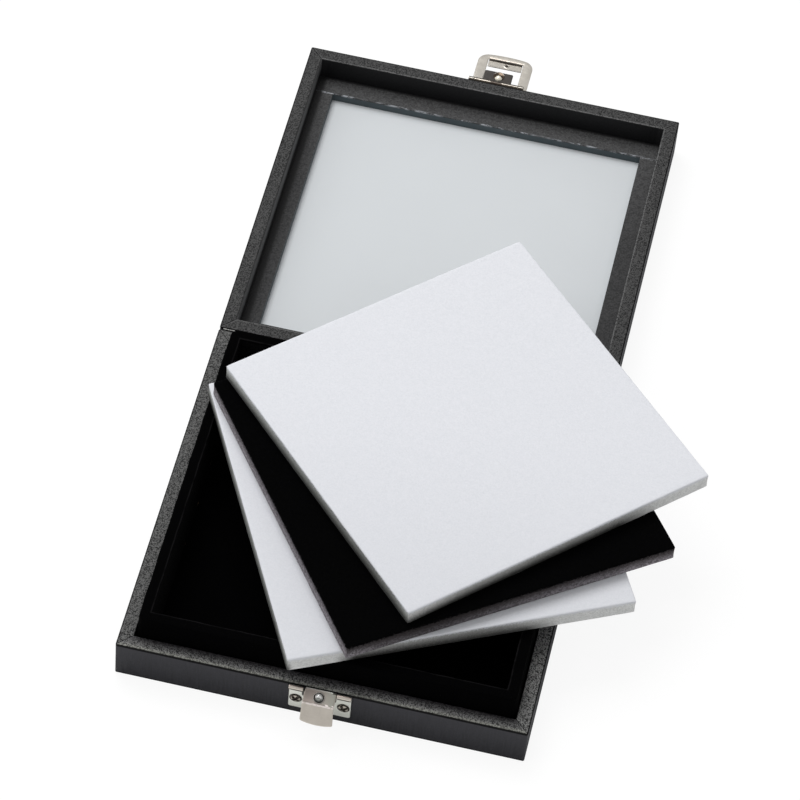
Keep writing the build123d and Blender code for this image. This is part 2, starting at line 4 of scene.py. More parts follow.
import bmesh
import bpy
import numpy as np
from mathutils import Matrix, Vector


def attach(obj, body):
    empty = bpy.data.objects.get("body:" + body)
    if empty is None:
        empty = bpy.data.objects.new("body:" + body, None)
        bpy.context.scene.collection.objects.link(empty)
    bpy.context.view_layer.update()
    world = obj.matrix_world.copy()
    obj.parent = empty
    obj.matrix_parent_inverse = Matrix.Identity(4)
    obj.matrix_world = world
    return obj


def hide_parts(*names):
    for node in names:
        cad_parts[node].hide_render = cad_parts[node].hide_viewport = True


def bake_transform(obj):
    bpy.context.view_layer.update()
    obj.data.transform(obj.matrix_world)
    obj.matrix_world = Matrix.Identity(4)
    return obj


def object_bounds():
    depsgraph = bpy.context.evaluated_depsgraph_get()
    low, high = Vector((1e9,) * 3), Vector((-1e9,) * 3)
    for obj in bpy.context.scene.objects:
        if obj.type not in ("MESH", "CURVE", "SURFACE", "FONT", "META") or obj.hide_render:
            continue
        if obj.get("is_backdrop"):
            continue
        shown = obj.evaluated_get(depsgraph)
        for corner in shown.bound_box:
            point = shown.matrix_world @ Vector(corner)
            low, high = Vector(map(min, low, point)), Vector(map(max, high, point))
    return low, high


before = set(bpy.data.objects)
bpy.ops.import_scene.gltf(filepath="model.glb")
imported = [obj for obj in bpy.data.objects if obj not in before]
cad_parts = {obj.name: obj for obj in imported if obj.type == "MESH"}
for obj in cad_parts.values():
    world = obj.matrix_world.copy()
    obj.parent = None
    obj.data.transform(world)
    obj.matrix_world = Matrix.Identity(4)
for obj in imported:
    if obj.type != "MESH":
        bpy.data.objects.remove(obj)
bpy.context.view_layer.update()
MM = 0.001


# ---------------------------------------------------------------- boards and cards
# The case's hidden structure: fibreboard walls, bottom and windowed lid board, glued at
# mitred corners, and the grey cards that stiffen the collar. Bare sawn board throughout.

def paint(red, green, blue):
    """Linear colour of an 8-bit display colour: the display curve undone on each channel."""
    c = np.array([red, green, blue]) / 255
    linear = np.where(c <= 0.04045, c / 12.92, ((c + 0.055) / 1.055) ** 2.4)
    return (*[float(v) for v in linear], 1.0)


def maths(operation, reflected=False):
    """Operator that adds a Math node on a lead and a second value, which goes first when the
    operator is reflected."""
    def operate(lead, other=0.5):
        pair = (other, lead) if reflected else (lead, other)
        return lead.finish.node("ShaderNodeMath", {"operation": operation},
                                dict(enumerate(pair)))
    return operate


class Lead:
    """An output in a finish's node tree. Arithmetic on leads adds Math nodes to the tree."""

    def __init__(self, finish, socket):
        self.finish = finish
        self.socket = socket

    __add__ = __radd__ = maths("ADD")
    __sub__, __rsub__ = maths("SUBTRACT"), maths("SUBTRACT", True)
    __mul__ = __rmul__ = maths("MULTIPLY")
    __truediv__, __rtruediv__ = maths("DIVIDE"), maths("DIVIDE", True)
    __pow__, __rpow__ = maths("POWER"), maths("POWER", True)
    __abs__ = maths("ABSOLUTE")
    least = maths("MINIMUM")

    def ramped(self, limit, soft, start, end):
        """Goes smoothly from start to end as the lead passes the limit, over soft each side."""
        return self.finish.node("ShaderNodeMapRange", {"interpolation_type": "SMOOTHSTEP"},
                                {0: self, 1: limit - soft, 2: limit + soft, 3: start, 4: end})

    def below(self, limit, soft):
        """1 below the limit and 0 above it, fading over soft on either side."""
        return self.ramped(limit, soft, 1.0, 0.0)

    def above(self, limit, soft):
        """0 below the limit and 1 above it, fading over soft on either side."""
        return self.ramped(limit, soft, 0.0, 1.0)


class Finish:
    """A material built up from nodes around one Principled BSDF. Its place is the point in
    the object's own space, and its colour is what each further coat is laid over."""

    def __init__(self, name):
        self.material = bpy.data.materials.new(name)
        self.material.use_nodes = True
        self.tree = self.material.node_tree
        self.tree.nodes.clear()
        self.place = self.node("ShaderNodeTexCoord", out="Object")
        self.colour = None

    def node(self, kind, settings=None, values=None, out=0):
        """Add a node: its settings first, then each input's value or link by name or number."""
        made = self.tree.nodes.new(kind)
        for name, setting in (settings or {}).items():
            if name == "stops":
                ramp = made.color_ramp.elements
                while len(ramp) < len(setting):
                    ramp.new(0.5)
                for stop, (position, colour) in zip(ramp, setting):
                    stop.position = position
                    stop.color = colour
            else:
                setattr(made, name, setting)
        for key, value in (values or {}).items():
            if isinstance(value, Lead):
                self.tree.links.new(value.socket, made.inputs[key])
            else:
                made.inputs[key].default_value = value
        return Lead(self, made.outputs[out])

    def split(self, vector):
        """The three coordinates of a vector lead."""
        parts = self.node("ShaderNodeSeparateXYZ", values={0: vector}).socket.node
        return [Lead(self, parts.outputs[i]) for i in range(3)]

    def axes(self):
        """The place's x, y and z in millimetres."""
        return [part / MM for part in self.split(self.place)]

    def chart(self):
        """The u and v of the piece's own map, in millimetres."""
        uv = self.node("ShaderNodeUVMap", {"uv_map": "along"})
        return [part / MM for part in self.split(uv)[:2]]

    def facing(self):
        """The x, y and z of the way the surface faces."""
        return self.split(self.node("ShaderNodeTexCoord", out="Normal"))

    def noise(self, size, detail=3.0, roughness=0.55, stretch=None):
        """Cloudy noise whose patches are about size millimetres wide."""
        at = self.place
        if stretch:
            at = self.node("ShaderNodeMapping", values={"Vector": at, "Scale": stretch})
        return self.node("ShaderNodeTexNoise", values={
            "Vector": at, "Scale": 1 / (size * MM), "Detail": detail, "Roughness": roughness})

    def cells(self, size, feature="F1", randomness=1.0, out="Distance"):
        """Distance field of a cell pattern whose cells are about size millimetres wide."""
        return self.node("ShaderNodeTexVoronoi", {"feature": feature}, {
            "Vector": self.place, "Scale": 1 / (size * MM), "Randomness": randomness}, out)

    def tint(self, factor, first, second):
        """Colour that goes from the first to the second as the factor goes from 0 to 1. Each
        is a lead, or the red, green and blue of an 8-bit display colour."""
        first, second = [c if isinstance(c, Lead) else paint(*c) for c in (first, second)]
        return self.node("ShaderNodeMix", {"data_type": "RGBA"},
                         {0: factor, 6: first, 7: second}, out=2)

    def coat(self, share, colour):
        """Lay a colour over the finish's colour, where and as far as the share says."""
        self.colour = self.tint(share, self.colour, colour)

    def bumped(self, height, depth, under=None):
        """Surface normal raised by height times depth millimetres."""
        values = {"Height": height, "Distance": depth * MM, "Strength": 1.0}
        if under:
            values["Normal"] = under
        return self.node("ShaderNodeBump", values=values)

    def done(self, roughness, normal=None, gloss=0.5, metallic=0.0, alpha=1.0):
        """Close the finish: give the Principled BSDF its inputs and join it to the output."""
        values = {"Base Color": self.colour, "Roughness": roughness, "Metallic": metallic,
                  "Specular IOR Level": gloss, "Alpha": alpha}
        if normal:
            values["Normal"] = normal
        return self.surfaced(self.node("ShaderNodeBsdfPrincipled", values=values))

    def surfaced(self, shader):
        """Join a shader to the output and hand over the material."""
        made = self.tree.nodes.new("ShaderNodeOutputMaterial")
        self.tree.links.new(shader.socket, made.inputs["Surface"])
        return self.material


def dress(node, material):
    """Give a CAD node its finish."""
    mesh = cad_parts[node].data
    mesh.materials.clear()
    mesh.materials.append(material)


def fibreboard():
    """Pressed fibre: pale brown with darker fibres drawn out along the board."""
    board = Finish("fibreboard")
    fibres = board.noise(1.6, 6.0, 0.7, (1.0, 0.25, 3.0))
    clouds = board.noise(12, 2.0)
    board.colour = board.tint(fibres * 0.7 + clouds * 0.3, (128, 104, 74), (196, 172, 134))
    return board.done(0.75 + fibres * 0.2, board.bumped(fibres, 0.08))


def grey_card():
    """Grey pasteboard with short flecks."""
    card = Finish("grey_card")
    flecks = card.noise(0.9, 5.0, 0.75)
    card.colour = card.tint(flecks, (96, 93, 88), (168, 164, 156))
    return card.done(0.8 + flecks * 0.15, card.bumped(flecks, 0.05))


SIDES = ("front", "back", "left", "right")
board_finish = fibreboard()
card_finish = grey_card()
for side in SIDES:
    dress(f"base_{side}_board", board_finish)
    dress(f"lid_{side}_board", board_finish)
    dress(f"collar_{side}_card", card_finish)
dress("base_bottom_board", board_finish)
dress("lid_top_board", board_finish)


# ---------------------------------------------------------------- underside paper
# Black lining paper pasted inside the turned-in hem, under the base. Thin, matt, with the
# faint ripples of paste underneath.

def lining_paper():
    """Matt black paper with faint ripples and pale fibres."""
    paper = Finish("lining_paper")
    ripple = paper.noise(20, 2.0)
    fibre = paper.noise(1.2, 6.0, 0.7, (1.0, 4.0, 1.0))
    paper.colour = paper.tint(fibre.above(0.62, 0.06), (24, 24, 25), (44, 44, 45))
    return paper.done(0.85 - fibre * 0.1, paper.bumped(ripple, 0.4, paper.bumped(fibre, 0.03)))


dress("base_underlay", lining_paper())


# ---------------------------------------------------------------- base covering
# Embossed black leatherette glued round the base's walls: up the outside, over the rim and
# down inside to the collar, with its corners mitred. Pebbled on the rim, finely ribbed upright.

WIDTH = 140.0
DEPTH = 141.5
HEIGHT = 15.7
RIM = 5.1
CORNER = 0.6
HEM = 8.0
SKIN = 0.5


def carried_round(profile, corner, centre_y=0.0):
    """Grid of points: a profile of (inset, height) carried round a rounded rectangle.
    A corner point is the corner's centre plus (corner - inset) times a unit direction, and
    past the corner's radius it stays on the mitre, inset from both sides."""
    inset = profile[:, 0][:, None]
    left = np.maximum(corner - inset, 0)
    over = np.maximum(inset, corner)
    points = []
    for turn in range(4):
        angle = np.linspace(0, np.pi / 2, 7) + turn * np.pi / 2 - np.pi
        x = np.sign(np.cos(angle[3])) * (WIDTH / 2 - over) + left * np.cos(angle)
        y = np.sign(np.sin(angle[3])) * (DEPTH / 2 - over) + left * np.sin(angle)
        points.append(np.stack([x, y], axis=2))
    share = np.linspace(0, 1, 48)[1:-1][None, :, None]
    loop = []
    for here, after in zip(points, points[1:] + points[:1]):
        loop += [here, here[:, -1:] * (1 - share) + after[:, :1] * share]
    flat = np.concatenate(loop, axis=1)
    z = np.broadcast_to(profile[:, 1][:, None, None], flat.shape[:2] + (1,))
    return np.concatenate([flat, z], axis=2) + np.array([0, centre_y, 0])


def rounded_profile(corners, radii, steps=5):
    """Profile through (inset, height) corners, each rounded by an arc of its own radius:
    the arc's ends lie radius from the corner along both runs, joined by a quadratic bend."""
    corners = np.array(corners, float)
    t = np.linspace(0, 1, steps)[:, None]
    out = [corners[0]]
    for before, corner, after, radius in zip(corners, corners[1:], corners[2:], radii):
        a = corner + (before - corner) / np.linalg.norm(before - corner) * radius
        b = corner + (after - corner) / np.linalg.norm(after - corner) * radius
        out += list((1 - t) ** 2 * a + 2 * t * (1 - t) * corner + t ** 2 * b)
    return np.array(out + [corners[-1]])


def grid_piece(name, grids, material, closed=False, charts=None):
    """Mesh object from one or more grids of points, rows by columns. Each gets a UV map in
    metres: its chart if given, or u the length along its middle row and v the length along
    the column an eighth of the way round, where the run is straight."""
    grids = grids if isinstance(grids, list) else [grids]
    points, faces, uvs, start = [], [], [], 0
    for i, grid in enumerate(grids):
        rows, columns = grid.shape[:2]
        index = np.arange(rows * columns).reshape(rows, columns)
        right = np.roll(index, -1, axis=1) if closed else index[:, 1:]
        here = index if closed else index[:, :-1]
        quads = np.stack([here[:-1], right[:-1], right[1:], here[1:]], axis=2).reshape(-1, 4)
        row, column = np.divmod(quads, columns)
        if charts:
            uv = charts[i][row, column]
        else:
            middle, side = grid[rows // 2], grid[:, columns // 8]
            ring = np.concatenate([middle, middle[:1]])
            u = np.cumsum(np.linalg.norm(np.diff(ring, axis=0, prepend=ring[:1]), axis=1))
            v = np.cumsum(np.linalg.norm(np.diff(side, axis=0, prepend=side[:1]), axis=1))
            uv = np.stack([u[column[:, :1] + np.array([0, 1, 1, 0])], v[row]], axis=2)
        points.append(grid.reshape(-1, 3) * MM)
        faces.append(quads + start)
        uvs.append(uv.reshape(-1) * MM)
        start += rows * columns
    faces = np.concatenate(faces)
    mesh = bpy.data.meshes.new(name)
    mesh.from_pydata(np.concatenate(points).tolist(), [], faces.tolist())
    layer = mesh.uv_layers.new(name="along")
    layer.data.foreach_set("uv", np.concatenate(uvs).astype(np.float32))
    mesh.materials.append(material)
    mesh.polygons.foreach_set("use_smooth", np.ones(len(faces), bool))
    piece = bpy.data.objects.new(name, mesh)
    bpy.context.scene.collection.objects.link(piece)
    return piece


def weld(piece, distance=2e-6, open_ends=False):
    """Merge doubled points, drop flat faces, fill a tube's open ends if it has any, and turn
    every face outwards."""
    work = bmesh.new()
    work.from_mesh(piece.data)
    bmesh.ops.remove_doubles(work, verts=work.verts, dist=distance)
    bmesh.ops.dissolve_degenerate(work, edges=work.edges, dist=distance)
    if open_ends:
        bmesh.ops.holes_fill(work, edges=[e for e in work.edges if e.is_boundary])
    bmesh.ops.recalc_face_normals(work, faces=work.faces)
    work.to_mesh(piece.data)
    work.free()


def register(piece, node, body):
    """Let a piece ride on a body in place of a CAD node."""
    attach(piece, body)
    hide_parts(node)


def leatherette(name, centre_y, rim, fade):
    """Black embossed covering. On the rim each pebble has its own tone between black and the
    rim's grey, partly grain and partly painted glints; the upright faces are finely ribbed. The
    mitre is a lap where the distances to both sides are equal, and with a fade the front rim
    takes painted shade away from its outer edge, under a painted highlight along that edge."""
    skin = Finish(name)
    x, y, z = skin.axes()
    from_side = WIDTH / 2 - abs(x)
    from_end = DEPTH / 2 - abs(y - centre_y)
    inset = from_side.least(from_end)
    lap = from_side - from_end
    on_rim = z.above(HEIGHT - 0.28, 0.12)
    inside = inset.above(RIM - 0.25, 0.1)
    front = (y - centre_y).below(0, 1) * lap.above(0, 0.1)
    fine = skin.noise(0.5, 2.0, 0.6)
    broad = skin.noise(20, 3.0, 0.6)
    pebble = skin.cells(0.33, "SMOOTH_F1", 0.8)
    shade = skin.cells(0.33, randomness=0.8, out="Color")
    # Each pebble's tone on the rim: partly grain, partly painted glints.
    grain_and_glint = (shade + broad * 0.1).above(0.53, 0.3)
    rib = skin.noise(0.5, 3.0, 0.7, (1.0, 1.0, 0.08))
    skin.colour = skin.tint(rib, (8, 8, 10), (52, 52, 58))
    skin.coat(z.above(8, 8) * 0.6, (58, 58, 63))
    skin.coat(on_rim, skin.tint(grain_and_glint, (4, 4, 5), rim))
    if fade:
        # Painted shade on the left rim's outer part and on the front rim away from its outer
        # edge towards the collar, and a painted highlight along the front rim's outer edge.
        skin.coat(on_rim * x.below(-65, 0.5) * (1 - front) * 0.34, (3, 3, 4))
        front_rim_shade = inset.above(2.7, 2.3) * front * on_rim
        skin.coat(front_rim_shade * 0.92, skin.tint(grain_and_glint, (4, 3, 5), (36, 33, 38)))
        lit = inset.below(1.1, 0.7) * front * on_rim
        skin.coat(lit * 0.7, skin.tint(grain_and_glint, (84, 84, 80), (148, 149, 141)))
    corner = on_rim * abs(lap).below(0.16, 0.08)
    lit_lap = on_rim * abs(lap - 0.42).below(0.14, 0.1)
    turned_in = abs(inset - RIM + 0.35).below(0.22, 0.14) * on_rim
    # Painted shade: dark lines along the outer top edge, the rim's outer edge and the foot,
    # added to the mitre's own seam line; lit_lap is a painted highlight beside the lap.
    outer = inset.below(0.24, 0.1) * z.above(HEIGHT - 0.95, 0.15)
    foot = inset.below(0.3, 0.1) * z.below(0.6, 0.2) * 0.6
    edge_shade = inset.below(0.42, 0.12) * on_rim * (1 - front)
    dark = corner * 0.8 + (outer + foot) * 0.9 + edge_shade * 0.7
    skin.coat(lit_lap * 0.35, (120, 120, 121))
    skin.coat(dark, (4, 4, 5))
    if fade:
        skin.coat(inside, (12, 12, 14))
    else:
        # The pale patchy line on the rim's inner edge is partly wear and partly painted
        # highlight, and on the left side it is painted dark as shade. The inner walls are dark,
        # with a painted light band on the upper part of the left wall.
        left = lap.below(0, 0.1) * x.below(0, 1)
        edge = skin.tint(left, (118, 118, 118), (6, 6, 7))
        skin.coat(turned_in * fine.above(0.46 - left * 0.4, 0.12) * 0.7, edge)
        wall = skin.tint(left * z.above(11, 1.5), (15, 15, 17), (84, 84, 85))
        skin.coat(inside * (1 - turned_in), wall)
    height = (pebble * 0.8 + fine * 0.5) * on_rim + rib * (1 - on_rim) - corner * 1.2
    return skin.done(0.5 + fine * 0.25, skin.bumped(height, 0.12), 0.3, dark)


def covering_profile(foot):
    """Closed profile of the covering: the hem, up the outside, over a rim that swells by
    0.05, down inside to the foot, and back a skin's thickness within."""
    return rounded_profile(
        [(HEM, 0.02), (0, 0), (0, HEIGHT), (2.4, HEIGHT + 0.05), (RIM, HEIGHT), (RIM, foot),
         (RIM - SKIN, foot), (RIM - SKIN, HEIGHT - SKIN), (SKIN, HEIGHT - SKIN), (SKIN, SKIN),
         (HEM, SKIN), (HEM, 0.02)],
        [0.12, 0.3, 1.2, 0.5] + [0.05] * 6)


# The base's rim grey is paler than the lid's: the difference between the two copies is painted
# light.
base_wrap = grid_piece("base_wrap", carried_round(covering_profile(2.2), CORNER),
                       leatherette("base_leatherette", 0.0, (126, 126, 125), True), True)
weld(base_wrap)
register(base_wrap, "base_covering", "base")


# ---------------------------------------------------------------- velvet collar and floor
# Raised collar of card wrapped in short-pile velvet, with soft edges, and a padded velvet
# floor in its well. The pile is almost black, a little blue, and worn thin on the edges.

COLLAR_FOOT = 2.2
COLLAR_TOP = 24.5
COLLAR_INSET = 5.45
COLLAR_LEAN = 0.55
COLLAR_CORNER = 8.45
WELL_INSET = 9.8
FLOOR = 2.9
PILE = 0.6


def velvet(name, worn_edge=None):
    """Short black pile, mottled where it is brushed. On a collar it is worn thin along the
    inner edge, which lies at v = worn_edge, and painted paler down the well's walls as painted
    light."""
    pile = Finish(name)
    nap = pile.noise(0.4, 3.0, 0.8)
    brushed = pile.noise(12, 3.0)
    pile.colour = pile.tint(nap.above(0.5, 0.2) * 0.6 + brushed * 0.4, (1, 1, 1), (5, 5, 6))
    if worn_edge:
        _, v = pile.chart()
        patchy = pile.noise(6, 3.0, 0.7).above(0.42, 0.2)
        # Painted light: the well's walls paler than the collar's top.
        wall = v.above(worn_edge + 1, 0.6)
        pile.coat(wall * nap.above(0.5, 0.3) * 0.9, (34, 34, 35))
        worn = abs(v - worn_edge).below(0.3, 0.2) * patchy
        pile.coat(worn * 0.5, (32, 31, 32))
    return pile.done(0.9 + nap * 0.1, pile.bumped(nap, 0.2), 0.02)


leaning = COLLAR_INSET + COLLAR_LEAN
collar_profile = rounded_profile(
    [(COLLAR_INSET, COLLAR_FOOT), (COLLAR_INSET, HEIGHT), (leaning, COLLAR_TOP),
     (WELL_INSET, COLLAR_TOP), (WELL_INSET, COLLAR_FOOT), (WELL_INSET - PILE, COLLAR_FOOT),
     (WELL_INSET - PILE, COLLAR_TOP - PILE), (leaning + PILE, COLLAR_TOP - PILE),
     (leaning + PILE, COLLAR_FOOT), (COLLAR_INSET, COLLAR_FOOT)],
    [0.8, 0.55, 0.35] + [0.05] * 5)
edge_length = COLLAR_TOP - COLLAR_FOOT + WELL_INSET - COLLAR_INSET
collar_grid = carried_round(collar_profile, COLLAR_CORNER)
bearing = np.arctan2(collar_grid[..., 1], collar_grid[..., 0])
pucker = np.sin(23 * bearing) + np.sin(41 * bearing + 1) + np.sin(67 * bearing + 2)
collar_grid[..., :2] *= 1 + 0.0007 * pucker[..., None]
collar = grid_piece("collar_wrap", collar_grid, velvet("collar_pile", edge_length - 0.9), True)
weld(collar)
register(collar, "collar_velvet", "base")


def padded_floor():
    """Floor grid: flat in the middle, its height dropping near the walls as
    (1 - (2x/w)^16)(1 - (2y/d)^16), with a slow ripple from two sine waves."""
    s = np.linspace(-1, 1, 61)
    a, b = np.meshgrid(s, s)
    crown = (1 - a ** 16) * (1 - b ** 16)
    ripple = 0.06 * np.sin(a * 7 + 1) * np.sin(b * 5 + 2)
    z = FLOOR - 0.35 + crown * (0.35 + ripple)
    return np.stack([a * (WIDTH / 2 - WELL_INSET), b * (DEPTH / 2 - WELL_INSET), z], axis=2)


floor_pad = grid_piece("well_floor", padded_floor(), velvet("floor_pile"))
register(floor_pad, "floor_velvet", "base")


# ---------------------------------------------------------------- lid covering
# The same leatherette round the lid's walls and rim, and a sheet of it on the outer face,
# turned up round the edge of the window.

LID_Y = 142.5

# The lid's rim grey is darker than the base's: painted shade on the lid's rim.
lid_wrap = grid_piece("lid_wrap", carried_round(covering_profile(1.6), CORNER, LID_Y),
                      leatherette("lid_leatherette", LID_Y, (72, 72, 72), False), True)
weld(lid_wrap)
register(lid_wrap, "lid_covering", "lid")


def plain_leatherette(name):
    """The covering where it lies flat and out of the light: pebbles only."""
    skin = Finish(name)
    pebble = skin.cells(0.62, "SMOOTH_F1")
    fine = skin.noise(0.5, 4.0, 0.7)
    skin.colour = skin.tint(fine, (26, 26, 28), (56, 56, 59))
    return skin.done(0.4 + fine * 0.2, skin.bumped(pebble + fine * 0.4, 0.08))


dress("lid_face_sheet", plain_leatherette("face_leatherette"))


# ---------------------------------------------------------------- glass and ledge strips
# A pane of clear glass on the windowed board, held down by four strips of covered card that
# make a ledge all round. The strips' cut inner edges are frayed and show pale fibres.

LEDGE_Z = 6.6
WINDOW_HALF = 57.95


def window_glass():
    """Clear pane drawn nearly opaque in a faint cool grey: painted reflection of the bright
    surroundings and of the floor seen through it.
    """
    pane = Finish("window_glass")
    film = pane.noise(50, 2.0)
    pane.colour = pane.tint(film, (221, 225, 228), (224, 228, 231))
    return pane.done(0.06 + film * 0.03, alpha=0.85 + film * 0.05)


dress("glass_pane", window_glass())


def ledge_card():
    """Black covered card: speckled on top, with painted light towards the far end and painted
    shadow of the far and left walls, pale frayed flecks along the far strip's inner edge and
    cool grey cut faces under it."""
    strip = Finish("ledge_card")
    x, y, z = strip.axes()
    fine = strip.noise(0.5, 4.0, 0.75)
    shade = strip.cells(0.5, randomness=0.7, out="Color")
    fray = strip.noise(1.1, 5.0, 0.8, (0.35, 1.0, 1.0))
    along = strip.noise(12, 2.0)
    from_edge = abs(y - (LID_Y + WINDOW_HALF))
    top = z.above(LEDGE_Z - 0.5, 0.2)
    flecks = from_edge.below(0.35, 0.3) * top * fray.above(0.52, 0.05) * along.above(0.40, 0.1)
    # Painted light: the top grows paler towards the far end.
    far = y.above(LID_Y + 40, 40)
    strip.colour = strip.tint(fine * 0.3 + shade * 0.7, (14, 14, 15), (70, 70, 71))
    strip.coat(far * 0.25 * (fine * 0.5 + shade * 0.5), (140, 140, 140))
    strip.coat(z.below(LEDGE_Z - 0.45, 0.15), strip.tint(along, (64, 74, 78), (88, 98, 103)))
    strip.coat(flecks * 0.85, (196, 200, 206))
    # Painted shadow of the far wall and of the left wall on the ledge.
    wall_shadow = (y - LID_Y).above(64.8, 0.6) + x.below(-62.4, 0.8) * top
    strip.coat(wall_shadow.least(1.0) * 0.85, (6, 6, 7))
    return strip.done(0.5 + fine * 0.25, strip.bumped(fine + flecks, 0.06), 0.3)


ledge_finish = ledge_card()
for side in SIDES:
    dress(f"ledge_{side}_strip", ledge_finish)


# ---------------------------------------------------------------- hinge strip
# One strip of leatherette folded between the two back faces: a leg glued to each, and a
# half-round fold on top that the lid turns about.

def folded_strip():
    """Closed outline swept along x: up one leg, round the fold and down the other, and back
    inside it. The fold's crest rises and falls along x by a sum of two sines."""
    bend = np.linspace(np.pi, 0, 15)
    y0, z0, outer, inner, foot = 71.25, 15.3, 0.49, 0.12, 1.5
    up = np.stack([y0 + outer * np.cos(bend), z0 + outer * np.sin(bend)], axis=1)
    back = np.stack([y0 + inner * np.cos(bend[::-1]), z0 + inner * np.sin(bend[::-1])], axis=1)
    outline = np.concatenate([[[y0 - outer, foot]], up, [[y0 + outer, foot]],
                              [[y0 + inner, foot]], back, [[y0 - inner, foot]]])
    x = np.linspace(-68.5, 68.5, 90)
    wave = 0.03 * (np.sin(x * 0.31) + np.sin(x * 0.173 + 1))
    lift = np.clip((outline[:, 1] - 14) / 1.5, 0, 1)
    grid = np.empty((len(x), len(outline), 3))
    grid[..., 0] = x[:, None]
    grid[..., 1] = outline[:, 0]
    grid[..., 2] = outline[:, 1] + wave[:, None] * lift
    return grid


def creased_leatherette():
    """The covering on the hinge's fold: cracked along the crest, and worn through to its pale
    backing at the left end."""
    skin = Finish("hinge_leatherette")
    x, y, z = skin.axes()
    fine = skin.noise(0.5, 4.0, 0.75)
    crack = skin.noise(2.2, 4.0, 0.7, (0.2, 3.0, 1.0))
    crest = z.above(HEIGHT - 0.28, 0.1)
    worn = (x.below(-63.8, 0.4) * abs(y - 71.2).below(0.13, 0.05) * z.above(15, 0.2)
            * skin.noise(0.9, 3.0, 0.7).above(0.44, 0.08))
    skin.colour = skin.tint(fine, (10, 10, 11), (34, 34, 35))
    skin.coat(crack.above(0.62, 0.04) * crest * 0.35, (110, 110, 110))
    skin.coat(worn * (0.75 + fine * 0.25), (205, 204, 200))
    return skin.done(0.55 + fine * 0.2, skin.bumped(fine + crack, 0.08), 0.3)


hinge = grid_piece("hinge_fold", folded_strip(), creased_leatherette(), True)
weld(hinge, open_ends=True)
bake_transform(hinge)
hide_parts("hinge_strip")


# ---------------------------------------------------------------- catch
# Stamped nickel-plated plate screwed to the base's front: two wings with rolled tops, and a
# stepped tongue with a bowed lip and a ball stud. Sheet edges are rounded by tumbling.

CATCH_SIDE = 0.05
CATCH_FACE = -70.75
CATCH = (CATCH_SIDE, CATCH_FACE, -1)
SHEET = 0.65
PLATE_HALF = 10.6
PLATE_DROP = 12.2


def against(grid, side, face, out):
    """Grid of (across, reach, drop) set against an upright face: x is side plus across, y is
    face plus out times reach, and z is the rim's height less drop."""
    return np.stack([side + grid[..., 0], face + out * grid[..., 1],
                     HEIGHT - grid[..., 2]], axis=2)


def on_slope(grid, side, reach, drop, slope):
    """Grid of (across, along, up) moved to a spot on a sheet that falls by slope degrees:
    reach grows by along cos + up sin, and drop by along sin - up cos."""
    c, s = np.cos(np.radians(slope)), np.sin(np.radians(slope))
    across, along, up = grid[..., 0], grid[..., 1], grid[..., 2]
    return np.stack([side + across, reach + along * c + up * s, drop + along * s - up * c],
                    axis=2)


def wrapped(grid):
    """Grid with its first column once more after its last."""
    return np.concatenate([grid, grid[:, :1]], axis=1)


def pressed_sheet(upper, inward, thick, facing):
    """Both sides of a stamped sheet, from its upper side's grid and each point's distance in
    from the outline. Within r = thick / 2 of the outline both sides sink towards the sheet's
    middle by r - sqrt(r^2 - (r - inward)^2), so they meet in a half-round edge."""
    normal = np.cross(np.gradient(upper, axis=0), np.gradient(upper, axis=1))
    normal /= np.linalg.norm(normal, axis=2, keepdims=True) + 1e-9
    normal *= np.sign((normal * np.array(facing)).sum())
    r = thick / 2
    short = np.clip(r - inward, 0, r)
    fall = (r - np.sqrt(r * r - short * short))[..., None]
    return [upper - normal * fall, upper - normal * (thick - fall)]


def bent_tongue(path, half, bow, corner, facing=(0, 1, -1), rows=90):
    """Sheet whose upper side follows a path of (reach, drop) and whose free end is bowed: at
    x across, the path ends bow (x / half)^2 short, and shorter still at the round corners."""
    length = np.concatenate([[0], np.cumsum(np.linalg.norm(np.diff(path, axis=0), axis=1))])
    t = np.sin(np.linspace(-1, 1, 61) * np.pi / 2)
    x = half * t
    beyond = np.clip(np.abs(x) - (half - corner), 0, corner)
    end = length[-1] - bow * t ** 2 - (corner - np.sqrt(corner ** 2 - beyond ** 2))
    keep = length[-1] - bow - corner - 0.6
    first = np.broadcast_to(np.linspace(0, keep, rows)[:, None], (rows, 61))
    last = keep + np.sin(np.linspace(0, np.pi / 2, 26))[1:, None] * (end - keep)
    s = np.concatenate([first, last])
    upper = np.stack([np.broadcast_to(x, s.shape), np.interp(s, length, path[:, 0]),
                      np.interp(s, length, path[:, 1])], axis=2)
    inward = np.minimum(np.minimum(half - np.abs(x), s), np.maximum(end - s, 0))
    return pressed_sheet(upper, inward, SHEET, facing)


def plate_back(top):
    """The flat of a plate, on the wall from its top down to its round-cornered foot."""
    return bent_tongue(np.array([(SHEET, top), (SHEET, PLATE_DROP)]), PLATE_HALF, 0, 0.9,
                       (0, 1, 0))


def rolled_edge(reach, drop, radius, foot, start, end, edge):
    """Rolled edge swept across from start to end. Its outline goes down the wall, up the
    sheet's front to the crease, and round the roll over the top and back to the wall; at both
    ends it shrinks towards its middle round a quarter circle of radius edge, and closes."""
    begin = -np.arccos((SHEET - reach) / radius)
    phi = np.linspace(begin, np.pi, 32)
    roll = np.stack([reach + radius * np.cos(phi), drop - radius * np.sin(phi)], axis=1)
    outline = np.concatenate([[[reach - radius, foot], [SHEET, foot]], roll])
    middle = np.array([reach, drop])
    a = np.linspace(0, np.pi / 2, 5)
    scale = 1 - edge / np.abs(outline - middle).max() * (1 - np.sin(a))
    inset = edge * (1 - np.cos(a))
    across = np.concatenate([[start], start + inset, end - inset[::-1], [end]])
    scale = np.concatenate([[0], scale, scale[::-1], [0]])
    ring = middle + scale[:, None, None] * (outline - middle)
    x = np.broadcast_to(across[:, None, None], ring.shape[:2] + (1,))
    return wrapped(np.concatenate([x, ring], axis=2))


def turned(profile, columns=64):
    """Profile of (radius, height) turned about the height axis: x = r cos a, y = r sin a."""
    a = np.linspace(0, 2 * np.pi, columns, endpoint=False)
    r, h = profile[:, :1], profile[:, 1:]
    return np.stack([r * np.cos(a), r * np.sin(a), h + 0 * a], axis=2)


